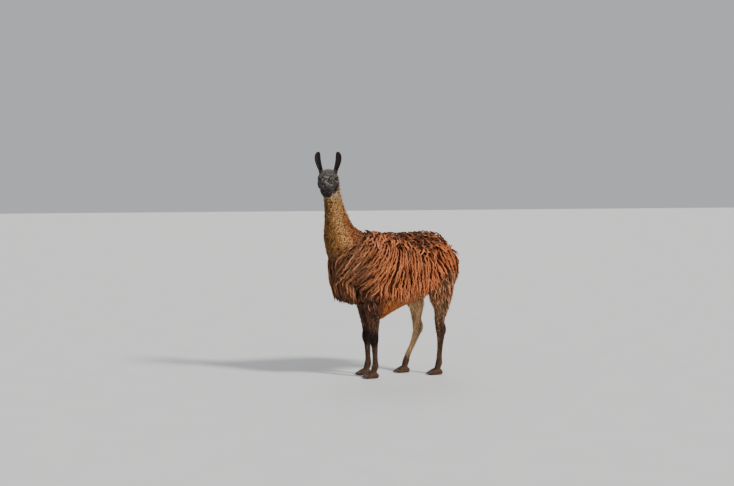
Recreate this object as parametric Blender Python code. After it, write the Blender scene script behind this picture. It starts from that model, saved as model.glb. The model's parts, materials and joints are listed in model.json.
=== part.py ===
"""A standing llama as a still, life-size model: head turned to its left, right hind leg stepped forward.

Metres, +Z up. The animal faces -Y, its left side is +X, and its feet stand on z = 0.
"""

import math
import random
from collections import namedtuple

import bmesh
import bpy
import numpy as np
from mathutils import Matrix, Vector
from mathutils.bvhtree import BVHTree

# Driving dimensions

GAP = 0.0003  # kept between touching pieces
TAIL_ROOT = Vector((0.0, 0.480, 1.030))
ELBOW_HEIGHT = 0.66
KNEE_HEIGHT = 0.315
HOCK_HEIGHT = 0.372
FETLOCK_HEIGHT = 0.098
TOE_ACROSS = 0.0195  # half the distance between a foot's toes
FORE_TRACK = 0.095  # half the distance between the forelegs
HIND_TRACK = 0.105
HEAD_ORIGIN = Vector((0.0, -0.545, 1.632))  # joint of the skull and the neck
HEAD_TURN = math.radians(67)  # to the animal's left
HEAD_PITCH = math.radians(22)  # nose down
EYE_RADIUS = 0.0190
EAR_LENGTH = 0.160
TAIL_LENGTH = 0.25
CORE_DEPTH = 0.034  # the dense wool near the skin, in which the locks root
LOCK_LIFT = 0.041  # from the core to the tips of the fleece
NECK_CORE_DEPTH = 0.012
NECK_LOCK_LIFT = 0.022
NECK_DOME = 0.02
SHOULDER_CORE_DEPTH = 0.022
THIGH_CORE_DEPTH = 0.012
LIMB_DOMES = (0.02, 0.01)
ROOT_DEPTH = 0.015  # how far a lock is sunk in the core
ANKLE_CUT = 0.076
NECK_CUT = Vector((0.0, -0.44, 1.04))
NECK_CUT_NORMAL = Vector((0.0, -0.50, 0.866))

TAIL_CORE_DEPTH = 0.006
TAIL_PARTING = 0.022  # the tail's locks and the rump's stay this clear of each other
TAIL_DOMES = (0.01, 0.01)
TRUNK_LOCKS_END = 0.39  # the rump's own locks begin behind it
SEED = 13

BODY_SIDES = 16
TAIL_SIDES = 10
LIMB_SIDES = 12  # shoulders and thighs
NECK_SIDES = 12
LEG_SIDES = 10
HEAD_SIDES = 18

Section = namedtuple("Section", "centre half_width half_depth egg turn", defaults=(0.0, 0.0))

X_AXIS = Vector((1, 0, 0))
Y_AXIS = Vector((0, 1, 0))
Z_AXIS = Vector((0, 0, 1))


# Materials


def material(name, colour, roughness):
    made = bpy.data.materials.new(name)
    made.use_nodes = True
    shader = made.node_tree.nodes["Principled BSDF"]
    shader.inputs["Base Color"].default_value = (*colour, 1)
    shader.inputs["Roughness"].default_value = roughness
    shader.inputs["Metallic"].default_value = 0.0
    made.diffuse_color = (*colour, 1)
    return made


# Mesh helpers


def new_object(name, mesh_data, finish=None):
    obj = bpy.data.objects.new(name, mesh_data)
    bpy.context.scene.collection.objects.link(obj)
    if finish:
        mesh_data.materials.clear()
        mesh_data.materials.append(finish)
    return obj


def object_from(name, points, faces, finish=None):
    mesh = bpy.data.meshes.new(name)
    mesh.from_pydata([tuple(p) for p in points], [], faces)
    work = bmesh.new()
    work.from_mesh(mesh)
    bmesh.ops.recalc_face_normals(work, faces=work.faces)
    work.to_mesh(mesh)
    work.free()
    return new_object(name, mesh, finish)


def remove(obj):
    mesh = obj.data
    bpy.data.objects.remove(obj)
    bpy.data.meshes.remove(mesh)


def applied(obj):
    """Replaces the object's mesh by its evaluated one and drops its modifiers."""
    graph = bpy.context.evaluated_depsgraph_get()
    mesh = bpy.data.meshes.new_from_object(obj.evaluated_get(graph))
    old = obj.data
    obj.modifiers.clear()
    obj.data = mesh
    bpy.data.meshes.remove(old)
    return obj


def keep_largest(obj):
    """Keeps the largest closed surface, so a sealed hollow is filled and a loose scrap dropped."""
    work = bmesh.new()
    work.from_mesh(obj.data)
    work.faces.ensure_lookup_table()
    unseen = set(work.faces)
    shells = []
    while unseen:
        shell = [unseen.pop()]
        for face in shell:
            for edge in face.edges:
                for other in edge.link_faces:
                    if other in unseen:
                        unseen.remove(other)
                        shell.append(other)
        shells.append(shell)
    largest = max(shells, key=lambda shell: sum(face.calc_area() for face in shell))
    kept = set(largest)
    bmesh.ops.delete(work, geom=[f for f in work.faces if f not in kept], context="FACES")
    work.to_mesh(obj.data)
    work.free()
    return obj


def boolean(obj, others, operation, solver="MANIFOLD"):
    """One Boolean of obj with a collection of closed meshes, applied. The others are removed."""
    group = bpy.data.collections.new("operands")
    bpy.context.scene.collection.children.link(group)
    for other in others:
        bpy.context.scene.collection.objects.unlink(other)
        group.objects.link(other)
    modifier = obj.modifiers.new("Boolean", "BOOLEAN")
    modifier.operand_type = "COLLECTION"
    modifier.collection = group
    modifier.operation = operation
    modifier.solver = solver
    applied(obj)
    for other in list(group.objects):
        remove(other)
    bpy.data.collections.remove(group)
    return keep_largest(obj)


def cut_by_plane(obj, point, normal):
    """Removes what lies on the side that the normal points to, and closes the cut."""
    work = bmesh.new()
    work.from_mesh(obj.data)
    geometry = work.verts[:] + work.edges[:] + work.faces[:]
    bmesh.ops.bisect_plane(work, geom=geometry, plane_co=point, plane_no=normal, clear_outer=True)
    rim = [edge for edge in work.edges if edge.is_boundary]
    bmesh.ops.triangle_fill(work, use_beauty=True, use_dissolve=False, edges=rim, normal=normal)
    bmesh.ops.recalc_face_normals(work, faces=work.faces)
    work.to_mesh(obj.data)
    work.free()
    return keep_largest(obj)


def copy_of(obj, name):
    return new_object(name, obj.data.copy())


def parted(obj, names, point, normal):
    """Splits obj by a thin cut into the side that the normal points to and the other."""
    half = normal.normalized() * GAP / 2
    front = cut_by_plane(copy_of(obj, names[0]), point + half, -normal)
    back = cut_by_plane(copy_of(obj, names[1]), point - half, normal)
    remove(obj)
    return front, back


# Lofts


def interpolated(rows, per_span):
    """Rows of numbers with per_span steps from each to the next, on a smooth curve."""
    rows = np.array(rows, float)
    before = np.vstack([rows[:1], rows[:-1]])
    after = np.vstack([rows[1:], rows[-1:]])
    slopes = (after - before) / 2
    out = []
    for i in range(len(rows) - 1):
        for k in range(per_span):
            t = k / per_span
            out.append(
                (1 + 2 * t) * (1 - t) ** 2 * rows[i]
                + t * (1 - t) ** 2 * slopes[i]
                + t * t * (3 - 2 * t) * rows[i + 1]
                + t * t * (t - 1) * slopes[i + 1]
            )
    out.append(rows[-1])
    return np.array(out)


def section_rows(sections, per_span, grow=0.0):
    rows = [(*s.centre, s.half_width, s.half_depth, s.egg, s.turn) for s in sections]
    dense = interpolated(rows, per_span)
    dense[:, 3:5] += grow
    return dense


def ring(row, tangent, sides):
    """The points of one cross-section: wide along the turned X axis, deep across it."""
    centre, half_width, half_depth, egg, turn = Vector(row[:3]), row[3], row[4], row[5], row[6]
    across = Matrix.Rotation(turn, 3, "Z") @ X_AXIS
    across = (across - tangent * across.dot(tangent)).normalized()
    deep = across.cross(tangent)
    points = []
    for i in range(sides):
        angle = 2 * math.pi * i / sides
        wide = half_width * math.cos(angle) * (1 + egg * math.sin(angle))
        points.append(centre + across * wide + deep * half_depth * math.sin(angle))
    return points


def tangents(points):
    steps = np.gradient(points, axis=0)
    return [Vector(s).normalized() for s in steps]


def domed(rows, along, length, rings=2):
    """Rows that round off the end at rows[0]: the last ring shrinks on a quarter ellipse of that length."""
    out = []
    for k in range(rings, 0, -1):
        angle = math.pi / 2 * k / (rings + 0.35)
        row = rows[0].copy()
        row[:3] -= np.array(along) * length * math.sin(angle)
        row[3:5] *= math.cos(angle)
        out.append(row)
    return out


def loft(name, sections, sides, per_span=2, grow=0.0, domes=(0.0, 0.0), facing=None, finish=None):
    """A closed tube through the sections, square to its own line or to facing.

    grow adds the same depth to each section, and domes round off the two ends. Its faces are triangles,
    so that a socket cut by a grown loft keeps an even gap to the loft itself.
    """
    rows = section_rows(sections, per_span, grow)
    along = [facing] * len(rows) if facing else tangents(rows[:, :3])
    before, after = [], []
    if domes[0]:
        before = domed(rows, along[0], domes[0] + grow)
    else:
        rows[0, :3] -= np.array(along[0]) * grow
    if domes[1]:
        after = domed(rows[::-1], -along[-1], domes[1] + grow)[::-1]
    else:
        rows[-1, :3] += np.array(along[-1]) * grow
    rows = [*before, *rows, *after]
    along = [along[0]] * len(before) + along + [along[-1]] * len(after)
    points, faces = [], []
    for row, tangent in zip(rows, along):
        points += ring(row, tangent, sides)
    for i in range(len(rows) - 1):
        low, high = i * sides, (i + 1) * sides
        for k in range(sides):
            nxt = (k + 1) % sides
            faces.append((low + k, low + nxt, high + nxt))
            faces.append((low + k, high + nxt, high + k))
    faces.append(tuple(reversed(range(sides))))
    faces.append(tuple(range(len(points) - sides, len(points))))
    return object_from(name, points, faces, finish)


def ball(name, centre, radii, segments=10, rings=7, finish=None):
    work = bmesh.new()
    bmesh.ops.create_uvsphere(work, u_segments=segments, v_segments=rings, radius=1.0)
    mesh = bpy.data.meshes.new(name)
    work.transform(Matrix.Translation(centre) @ Matrix.Diagonal((*radii, 1)))
    work.to_mesh(mesh)
    work.free()
    return new_object(name, mesh, finish)


# The body's sections, from the driving dimensions


Station = namedtuple("Station", "y top bottom half_width egg hem")
TRUNK = [  # skin of the trunk from breast to rump, and the height where its fleece ends
    Station(-0.470, 1.080, 0.715, 0.098, 0.05, 0.610),
    Station(-0.360, 1.110, 0.655, 0.140, 0.10, 0.580),
    Station(-0.240, 1.135, 0.615, 0.165, 0.08, 0.550),
    Station(-0.130, 1.132, 0.612, 0.182, 0.00, 0.475),
    Station(0.020, 1.128, 0.625, 0.190, -0.05, 0.540),
    Station(0.160, 1.132, 0.665, 0.188, -0.08, 0.600),
    Station(0.290, 1.136, 0.715, 0.168, -0.05, 0.655),
    Station(0.380, 1.122, 0.755, 0.148, 0.05, 0.700),
    Station(0.425, 1.080, 0.800, 0.118, 0.00, 0.750),
]
TRUNK_DOMES = (0.03, 0.03)


def trunk_sections():
    made = []
    for s in TRUNK:
        middle, half_depth = (s.top + s.bottom) / 2, (s.top - s.bottom) / 2
        made.append(Section((0.0, s.y, middle), s.half_width, half_depth, s.egg))
    return made


def neck_sections():
    turn = HEAD_TURN
    return [
        Section((0.0, -0.300, 0.970), 0.115, 0.165),
        Section((0.0, -0.375, 1.060), 0.110, 0.165),
        Section((0.0, -0.437, 1.165), 0.092, 0.134, 0.0, turn * 0.04),
        Section((0.0, -0.474, 1.270), 0.073, 0.093, 0.0, turn * 0.12),
        Section((0.004, -0.500, 1.385), 0.061, 0.071, 0.0, turn * 0.30),
        Section((0.008, -0.519, 1.490), 0.055, 0.060, 0.0, turn * 0.60),
        Section((0.006, -0.534, 1.575), 0.055, 0.059, 0.0, turn * 0.90),
        Section((-0.004, -0.540, 1.640), 0.048, 0.052, 0.0, turn),
    ]


def thigh_sections(side, stifle_y):
    x = side * HIND_TRACK
    return [
        Section((x * 0.85, 0.34, 1.02), 0.060, 0.090),
        Section((x * 1.02, 0.365, 0.90), 0.078, 0.125),
        Section((x * 1.08, (0.365 + stifle_y) / 2 + 0.03, 0.79), 0.074, 0.122),
        Section((x * 1.08, stifle_y + 0.063, 0.69), 0.062, 0.098),
        Section((x * 1.06, stifle_y + 0.070, 0.60), 0.044, 0.066),
    ]


def shoulder_sections(side):
    x = side * FORE_TRACK
    return [
        Section((x * 0.80, -0.20, 1.03), 0.040, 0.070),
        Section((x * 1.05, -0.25, 0.90), 0.062, 0.105),
        Section((x * 1.10, -0.26, 0.79), 0.066, 0.105),
        Section((x * 1.06, -0.22, 0.70), 0.056, 0.085),
        Section((x * 1.02, -0.20, 0.65), 0.046, 0.066),
    ]


def foreleg_sections(side, foot_y):
    x = side * FORE_TRACK
    knee_y = foot_y - 0.012
    return [
        Section((x * 1.04, foot_y - 0.028, ELBOW_HEIGHT), 0.046, 0.070),
        Section((x * 1.03, foot_y - 0.022, 0.575), 0.043, 0.062),
        Section((x * 1.01, foot_y - 0.014, 0.475), 0.034, 0.046),
        Section((x, foot_y - 0.010, 0.385), 0.028, 0.034),
        Section((x, knee_y, KNEE_HEIGHT), 0.031, 0.035),
        Section((x, knee_y + 0.006, 0.265), 0.024, 0.026),
        Section((x, foot_y - 0.002, 0.190), 0.0185, 0.0205),
        Section((x, foot_y, 0.130), 0.020, 0.022),
        Section((x, foot_y, FETLOCK_HEIGHT), 0.025, 0.027),
        Section((x, foot_y - 0.012, 0.060), 0.023, 0.025),
        Section((x, foot_y - 0.020, 0.030), 0.026, 0.030),
    ]


def hindleg_sections(side, stifle_y, hock_y, foot_y):
    x = side * HIND_TRACK
    return [
        Section((x * 1.06, stifle_y + 0.055, 0.71), 0.052, 0.082),
        Section((x * 1.05, stifle_y + 0.070, 0.63), 0.044, 0.068),
        Section((x * 1.03, (stifle_y + 0.07 + hock_y) / 2, 0.54), 0.036, 0.052),
        Section((x, hock_y - 0.012, 0.45), 0.027, 0.037),
        Section((x, hock_y, HOCK_HEIGHT), 0.027, 0.041),
        Section((x, hock_y - (hock_y - foot_y) * 0.12, 0.325), 0.024, 0.031),
        Section((x, hock_y - (hock_y - foot_y) * 0.45, 0.235), 0.0195, 0.0215),
        Section((x, foot_y + (hock_y - foot_y) * 0.15, 0.150), 0.020, 0.021),
        Section((x, foot_y, FETLOCK_HEIGHT), 0.025, 0.026),
        Section((x, foot_y - 0.012, 0.060), 0.023, 0.025),
        Section((x, foot_y - 0.018, 0.030), 0.026, 0.030),
    ]


def tail_sections():
    down = Vector((0.0, 0.0, -TAIL_LENGTH))
    back = Vector((0.0, 0.085, 0.0))
    return [
        Section(TAIL_ROOT, 0.030, 0.026),
        Section(TAIL_ROOT + down * 0.15 + back * 0.60, 0.036, 0.030),
        Section(TAIL_ROOT + down * 0.45 + back * 0.95, 0.037, 0.028),
        Section(TAIL_ROOT + down * 0.75 + back, 0.029, 0.024),
        Section(TAIL_ROOT + down + back * 0.92, 0.014, 0.013),
    ]


Leg = namedtuple("Leg", "name side stifle_y hock_y foot_y")
FORELEGS = [Leg("foreleg_left", 1, None, None, -0.178), Leg("foreleg_right", -1, None, None, -0.165)]
HINDLEGS = [Leg("hindleg_left", 1, 0.330, 0.405, 0.388), Leg("hindleg_right", -1, 0.195, 0.290, 0.183)]


# The head, in its own frame: facing -Y, level, with its origin at the joint with the neck

HeadSection = namedtuple("HeadSection", "ahead top bottom half_width egg")
HEAD = [
    HeadSection(-0.030, 0.046, -0.066, 0.060, 0.0),
    HeadSection(0.010, 0.064, -0.078, 0.070, 0.08),
    HeadSection(0.055, 0.075, -0.086, 0.076, 0.10),
    HeadSection(0.097, 0.071, -0.086, 0.076, 0.08),
    HeadSection(0.133, 0.057, -0.079, 0.067, -0.05),
    HeadSection(0.174, 0.042, -0.070, 0.053, -0.12),
    HeadSection(0.216, 0.032, -0.064, 0.045, -0.10),
    HeadSection(0.253, 0.026, -0.060, 0.042, -0.05),
    HeadSection(0.282, 0.019, -0.055, 0.038, 0.0),
]
HEAD_DOMES = (0.030, 0.032)
EYE_AHEAD, EYE_ACROSS, EYE_UP = 0.108, 0.0585, 0.027
NOSTRIL_AHEAD, NOSTRIL_ACROSS, NOSTRIL_UP = 0.300, 0.0170, 0.002
MOUTH_UP = -0.026
MOUTH_BACK = 0.215  # corner of the mouth
EAR_AHEAD, EAR_ACROSS, EAR_UP = 0.014, 0.056, 0.052


def head_place():
    """Head frame to world."""
    turn = Matrix.Rotation(HEAD_TURN, 4, "Z")
    pitch = Matrix.Rotation(HEAD_PITCH, 4, "X")
    return Matrix.Translation(HEAD_ORIGIN) @ turn @ pitch


def skull(grow=0.0):
    sections = [
        Section((0.0, -s.ahead, (s.top + s.bottom) / 2), s.half_width, (s.top - s.bottom) / 2, s.egg)
        for s in HEAD
    ]
    return loft("head", sections, HEAD_SIDES, per_span=2, grow=grow, domes=HEAD_DOMES)


def cheek(side, grow=0.0):
    return ball("cheek", (side * 0.048, -0.073, -0.038), (0.028 + grow, 0.055 + grow, 0.038 + grow))


def head_forms(side):
    """Cheek, brow, lids, nostril wing and lips of one side."""
    return [
        cheek(side),
        ball("brow", (side * 0.0585, -(EYE_AHEAD - 0.003), EYE_UP + 0.0150), (0.0115, 0.0290, 0.0075)),
        ball("lower_lid", (side * 0.0625, -(EYE_AHEAD + 0.001), EYE_UP - 0.0155), (0.0095, 0.0250, 0.0055)),
        ball("nostril_wing", (side * 0.0215, -0.291, 0.003), (0.0115, 0.0190, 0.0160)),
        ball("upper_lip", (side * 0.0150, -0.296, -0.015), (0.0160, 0.0240, 0.0130)),
        ball("lower_lip", (side * 0.0095, -0.286, -0.038), (0.0160, 0.0240, 0.0110)),
    ]


def mouth_groove():
    """A thin wedge that cuts the line of the mouth round the muzzle."""
    outline = []
    steps = 10
    half_open = 0.0028
    for i in range(steps + 1):
        angle = math.pi * i / steps
        outline.append((0.050 * math.cos(angle), -MOUTH_BACK - 0.110 * math.sin(angle)))
    inner = [(0.66 * x, -MOUTH_BACK + (y + MOUTH_BACK) * 0.80) for x, y in outline]
    points, faces = [], []
    for (ox, oy), (ix, iy) in zip(outline, inner):
        middle = MOUTH_UP - 0.16 * (oy + MOUTH_BACK + 0.11)
        points += [(ox, oy, middle + half_open), (ix, iy, middle), (ox, oy, middle - half_open)]
    for i in range(steps):
        a, b = 3 * i, 3 * (i + 1)
        for k in range(3):
            faces.append((a + k, a + (k + 1) % 3, b + (k + 1) % 3, b + k))
    faces += [(0, 1, 2), (3 * steps + 2, 3 * steps + 1, 3 * steps)]
    return object_from("mouth_groove", points, faces)


def nostril(side):
    """A slanting slit that cuts the nostril."""
    hole = ball("nostril", (0, 0, 0), (0.0034, 0.0130, 0.0090), segments=8, rings=6)
    tilt = Matrix.Rotation(math.radians(28) * side, 4, "Y") @ Matrix.Rotation(math.radians(18) * side, 4, "Z")
    place = Vector((side * (NOSTRIL_ACROSS + 0.0035), -(NOSTRIL_AHEAD + 0.006), NOSTRIL_UP + 0.001))
    hole.data.transform(Matrix.Translation(place) @ tilt)
    return hole


def eye(side, grow=0.0, name="eye"):
    radius = EYE_RADIUS + grow
    return ball(name, (side * EYE_ACROSS, -EYE_AHEAD, EYE_UP), (radius,) * 3)


def ear(side, name, grow=0.0):
    """One long ear: a shell that is open to the front, curving inward at its tip like a banana."""
    steps = 8
    arc = math.radians(230)
    around = 8
    points, faces = [], []
    wall = 0.0035 + 2 * grow
    for i in range(steps + 1):
        t = i / steps
        height = EAR_LENGTH * t
        width = (0.0195 + 0.0060 * math.sin(math.pi * min(1, t * 1.35))) * (1 - 0.80 * t**3.2)
        lean = side * (0.036 * math.sin(math.pi * 0.5 * t) - 0.014 * t**3)
        back = 0.006 * math.sin(math.pi * t)
        for shell in (1, -1):
            radius = width + (grow if shell > 0 else -wall + grow)
            radius = max(radius, 0.002)
            for k in range(around):
                angle = math.pi / 2 + (k / (around - 1) - 0.5) * arc
                across, deep = radius * math.cos(angle), 0.62 * radius * math.sin(angle)
                points.append((lean + across, back + deep, height))
    step = 2 * around
    loop = list(range(around)) + list(range(2 * around - 1, around - 1, -1))
    for i in range(steps):
        a, b = i * step, (i + 1) * step
        for here, nxt in zip(loop, loop[1:] + loop[:1]):
            faces.append((a + here, a + nxt, b + nxt, b + here))
    faces.append(tuple(loop[::-1]))
    faces.append(tuple(steps * step + k for k in loop))
    made = object_from(name, points, faces)
    root = ball("ear_root", (0, 0.004, -0.008), (0.0185 + grow, 0.0160 + grow, 0.020 + grow), rings=6)
    boolean(made, [root], "UNION")
    swing = Matrix.Rotation(side * math.radians(-16), 4, "Z")
    upright = Matrix.Rotation(-HEAD_PITCH * 0.6, 4, "X")
    place = Matrix.Translation((side * EAR_ACROSS, -EAR_AHEAD, EAR_UP))
    made.data.transform(place @ upright @ swing)
    return made


# Wool: a core near the skin, and flat tapered locks that root in it and lie along it


def wool_core():
    body = loft(
        "body", trunk_sections(), BODY_SIDES, per_span=1, grow=CORE_DEPTH, domes=TRUNK_DOMES, facing=Y_AXIS
    )
    neck = loft(
        "neck_core", neck_sections(), NECK_SIDES, per_span=1, grow=NECK_CORE_DEPTH, domes=(0, NECK_DOME)
    )
    limbs = [neck]
    for leg in FORELEGS:
        shoulder = shoulder_sections(leg.side)
        limbs.append(loft("shoulder", shoulder, LIMB_SIDES, 1, SHOULDER_CORE_DEPTH, LIMB_DOMES))
    for leg in HINDLEGS:
        thigh = thigh_sections(leg.side, leg.stifle_y)
        limbs.append(loft("thigh", thigh, LIMB_SIDES, 1, THIGH_CORE_DEPTH, LIMB_DOMES))
    return boolean(body, limbs, "UNION")


def tree_of(obj):
    work = bmesh.new()
    work.from_mesh(obj.data)
    tree = BVHTree.FromBMesh(work)
    work.free()
    return tree


def lie(point, normal):
    """The way the wool falls: down, swept forward on the chest and a little back on the rump."""
    sweep = 0.95 * min(point.y, 0) + 0.55 * max(point.y, 0)
    if point.z > 1.15:
        sweep = -0.10
    aside = math.copysign(0.9 * max(0.0, normal.z), point.x)
    way = Vector((aside, sweep, -1.0))
    return (way - normal * way.dot(normal)).normalized()


def lock(tree, root, normal, length, width, lift, rng):
    """One lock with a flat underside and a ridge: sunk root, blade bent along the core, tip free."""
    shape = [(0.70, 0.6), (1.0, 1.0), (0.66, 0.75)]
    steps = len(shape)
    here, up = root, normal
    bend = rng.uniform(-0.35, 0.35)
    points = []
    for i, (wide, thick) in enumerate(shape):
        t = i / steps
        hangs = up.z < -0.25
        way = Vector((up.x * 0.12, 0.6 * here.y, -1)).normalized() if hangs else lie(here, up)
        way = Matrix.Rotation(bend * math.sin(math.pi * 1.3 * t), 3, up) @ way
        across = up.cross(way).normalized() * width * wide / 2
        raised = here + up * (lift * t**0.8 - (ROOT_DEPTH if i == 0 else 0.004))
        points += [raised + across, raised + up * width * 0.24 * thick, raised - across]
        here = here + way * length / steps
        if not hangs:
            here, facing, _, _ = tree.find_nearest(here)
            up = (up + facing * 1.4).normalized()
    points.append(here + up * lift)
    faces = [(2, 1, 0)]
    for i in range(steps - 1):
        low, high = 3 * i, 3 * (i + 1)
        for k in range(3):
            nxt = (k + 1) % 3
            faces.append((low + k, low + nxt, high + nxt, high + k))
    last = 3 * (steps - 1)
    faces += [(last + k, last + (k + 1) % 3, 3 * steps) for k in range(3)]
    return object_from("lock", points, faces)


def cast(tree, start, way):
    """Where a ray from inside the core leaves it, and the outward normal there."""
    found, normal, _, _ = tree.ray_cast(start, way)
    return found, (normal if normal.dot(way) > 0 else -normal)


def between(rows, y):
    """The values of the trunk's stations at y."""
    table = np.array(rows)
    return [float(np.interp(y, table[:, 0], table[:, k])) for k in range(table.shape[1])]


def trunk_locks(tree, rng):
    """Courses of long locks down both sides. The lowest hang to the hem of the fleece."""
    columns = 8
    spacing = (TRUNK_LOCKS_END - TRUNK[0].y) / (columns - 0.5)
    made = []
    for row, degrees in enumerate((66, 36, 8, -20, -45)):
        for column in range(columns):
            y = TRUNK[0].y + spacing * (column + 0.5 * (row % 2)) + rng.uniform(-0.012, 0.012)
            _, top, bottom, _, _, hem = between(TRUNK, y)
            for side in (1, -1):
                angle = math.radians(degrees + rng.uniform(-5, 5))
                way = Vector((side * math.cos(angle), 0, math.sin(angle)))
                root, normal = cast(tree, Vector((0, y, (top + bottom) / 2)), way)
                length = rng.uniform(0.17, 0.21)
                if row > 2:
                    length = max(0.10, min(0.24, root.z - hem))
                width = rng.uniform(0.105, 0.130)
                made.append(lock(tree, root, normal, length, width, LOCK_LIFT, rng))
    return made


def spine_locks(tree, rng):
    """Locks that fall to alternate sides of the back, from the withers to the croup."""
    made = []
    for k in range(8):
        y = -0.27 + 0.085 * k
        root, normal = cast(tree, Vector((0.028 * (-1) ** k, y, 0.95)), Z_AXIS)
        made.append(lock(tree, root, normal, rng.uniform(0.16, 0.18), 0.115, LOCK_LIFT, rng))
    return made


def chest_locks(tree, rng):
    """The apron down the front of the chest."""
    made = []
    for row, height in enumerate((0.99, 0.87, 0.76)):
        for k in range(4):
            bearing = math.radians(-62 + 40 * k + 12 * (row % 2) + rng.uniform(-5, 5))
            way = Vector((math.sin(bearing), -math.cos(bearing), 0))
            root, normal = cast(tree, Vector((0, -0.38, height)), way)
            length = min(rng.uniform(0.15, 0.18), root.z - TRUNK[0].hem + 0.02)
            made.append(lock(tree, root, normal, length, rng.uniform(0.095, 0.110), 0.045, rng))
    return made


def rump_locks(tree, rng):
    made = []
    for height in (1.05, 0.94, 0.84):
        for k in range(5):
            bearing = math.radians(-76 + 38 * k + rng.uniform(-6, 6))
            way = Vector((math.sin(bearing), math.cos(bearing), 0))
            root, normal = cast(tree, Vector((0, 0.36, height)), way)
            made.append(lock(tree, root, normal, rng.uniform(0.14, 0.17), rng.uniform(0.085, 0.105), 0.026, rng))
    return made


def neck_locks(tree, rng):
    """Rings of short locks down the neck, longer and wider towards its base, that end above the cut."""
    made = []
    line = interpolated([(*s.centre, 0) for s in neck_sections()], 4)
    for ring_index, height in enumerate((1.52, 1.43, 1.335, 1.23)):
        centre = Vector(line[np.argmin(abs(line[:, 2] - height))][:3])
        size = float(np.interp(height, (1.17, 1.50), (1.0, 0.52)))
        around = 6
        for k in range(around):
            bearing = 2 * math.pi * (k + 0.5 * (ring_index % 2)) / around + rng.uniform(-0.1, 0.1)
            root, normal = cast(tree, centre, Vector((math.sin(bearing), math.cos(bearing), 0)))
            way = lie(root, normal)
            room = (root - NECK_CUT).dot(NECK_CUT_NORMAL) / max(0.1, -way.dot(NECK_CUT_NORMAL))
            length = min(0.17 * size, room - 0.01)
            if length > 0.04:
                made.append(lock(tree, root, normal, length, 0.110 * size, NECK_LOCK_LIFT * size, rng))
    return made


def build_tail(rng, finish):
    tail = loft("tail", tail_sections(), TAIL_SIDES, per_span=1, grow=TAIL_CORE_DEPTH, domes=TAIL_DOMES)
    tree = tree_of(tail)
    locks = []
    for row, drop in enumerate((0.050, 0.110, 0.170)):
        for k in range(3):
            bearing = math.radians(-50 + 50 * k + 25 * (row % 2))
            start = TAIL_ROOT + Vector((0.0, 0.078, -drop))
            root, normal = cast(tree, start, Vector((math.sin(bearing), math.cos(bearing), 0)))
            locks.append(lock(tree, root, normal, 0.085, 0.036, 0.010, rng))
    boolean(tail, locks, "UNION")
    tail.data.materials.clear()
    tail.data.materials.append(finish)
    return tail


# Feet


def toe(side, inner, foot_y, track, grow=0.0):
    """One of a foot's two toes, with its pad flat on the floor."""
    x = side * track + inner * TOE_ACROSS
    sections = [
        Section((x, foot_y + 0.012, 0.018), 0.0165, 0.0190),
        Section((x, foot_y - 0.012, 0.025), 0.0195, 0.0280),
        Section((x + inner * 0.002, foot_y - 0.044, 0.022), 0.0195, 0.0250),
        Section((x + inner * 0.003, foot_y - 0.074, 0.015), 0.0160, 0.0170),
    ]
    return loft("toe", sections, 8, per_span=1, grow=grow, domes=(0.012, 0.016))


def nail(name, side, inner, foot_y, track, grow=0.0, finish=None):
    """A pointed nail that grows from the front of its toe."""
    x = side * track + inner * (TOE_ACROSS + 0.003)
    sections = [
        Section((x, foot_y - 0.066, 0.0240), 0.0115, 0.0090),
        Section((x, foot_y - 0.084, 0.0205), 0.0120, 0.0095),
        Section((x, foot_y - 0.098, 0.0140), 0.0085, 0.0070),
        Section((x, foot_y - 0.106, 0.0080), 0.0035, 0.0035),
    ]
    return loft(name, sections, 6, per_span=1, grow=grow, domes=(0.004, 0.0), finish=finish)


def build_leg(leg, hair, horn):
    """Upper leg, lower leg, foot and two nails of one leg, and the socket that its top leaves in the body."""
    if leg.stifle_y is None:
        sections = foreleg_sections(leg.side, leg.foot_y)
        joint = Vector((0, leg.foot_y, KNEE_HEIGHT))
        track = FORE_TRACK
    else:
        sections = hindleg_sections(leg.side, leg.stifle_y, leg.hock_y, leg.foot_y)
        joint = Vector((0, leg.hock_y, HOCK_HEIGHT))
        track = HIND_TRACK
    whole = loft(leg.name, sections, LEG_SIDES, per_span=1)
    socket = loft("socket", sections, LEG_SIDES, per_span=1, grow=GAP)
    upper, rest = parted(whole, (leg.name + "_upper", leg.name + "_rest"), joint, Z_AXIS)
    ankle = Vector((0, leg.foot_y, ANKLE_CUT))
    lower, foot = parted(rest, (leg.name + "_lower", leg.name + "_foot"), ankle, Z_AXIS)
    boolean(foot, [toe(leg.side, inner, leg.foot_y, track) for inner in (1, -1)], "UNION")
    foot = cut_by_plane(foot, ankle - Z_AXIS * GAP / 2, Z_AXIS)
    foot = cut_by_plane(foot, Vector((0, 0, 0)), -Z_AXIS)
    nails = []
    for inner in (1, -1):
        where = "inner" if inner * leg.side < 0 else "outer"
        boolean(foot, [nail("nail_root", leg.side, inner, leg.foot_y, track, GAP)], "DIFFERENCE")
        nails.append(nail(f"{leg.name}_nail_{where}", leg.side, inner, leg.foot_y, track, finish=horn))
    for obj in (upper, lower, foot):
        obj.data.materials.clear()
        obj.data.materials.append(hair)
    return [upper, lower, foot, *nails], socket


def build_head(hair):
    """The head with its lids, lips, mouth line, nostrils and eye sockets, in its own frame."""
    head = skull()
    forms = head_forms(1) + head_forms(-1)
    boolean(head, forms, "UNION")
    cutters = [mouth_groove(), nostril(1), nostril(-1)]
    cutters += [eye(side, GAP, "socket") for side in (1, -1)]
    boolean(head, cutters, "DIFFERENCE")
    head.data.materials.clear()
    head.data.materials.append(hair)
    return head


def centre_on_floor(nodes):
    """Sets the origin under the middle of the whole animal's box, on the floor."""
    points = np.array([v.co[:] for obj in nodes for v in obj.data.vertices])
    low, high = points.min(0), points.max(0)
    root = bpy.data.objects.new("llama", None)
    bpy.context.scene.collection.objects.link(root)
    root.location = (-(low[0] + high[0]) / 2, -(low[1] + high[1]) / 2, 0.0)
    for obj in nodes:
        obj.parent = root


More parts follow.
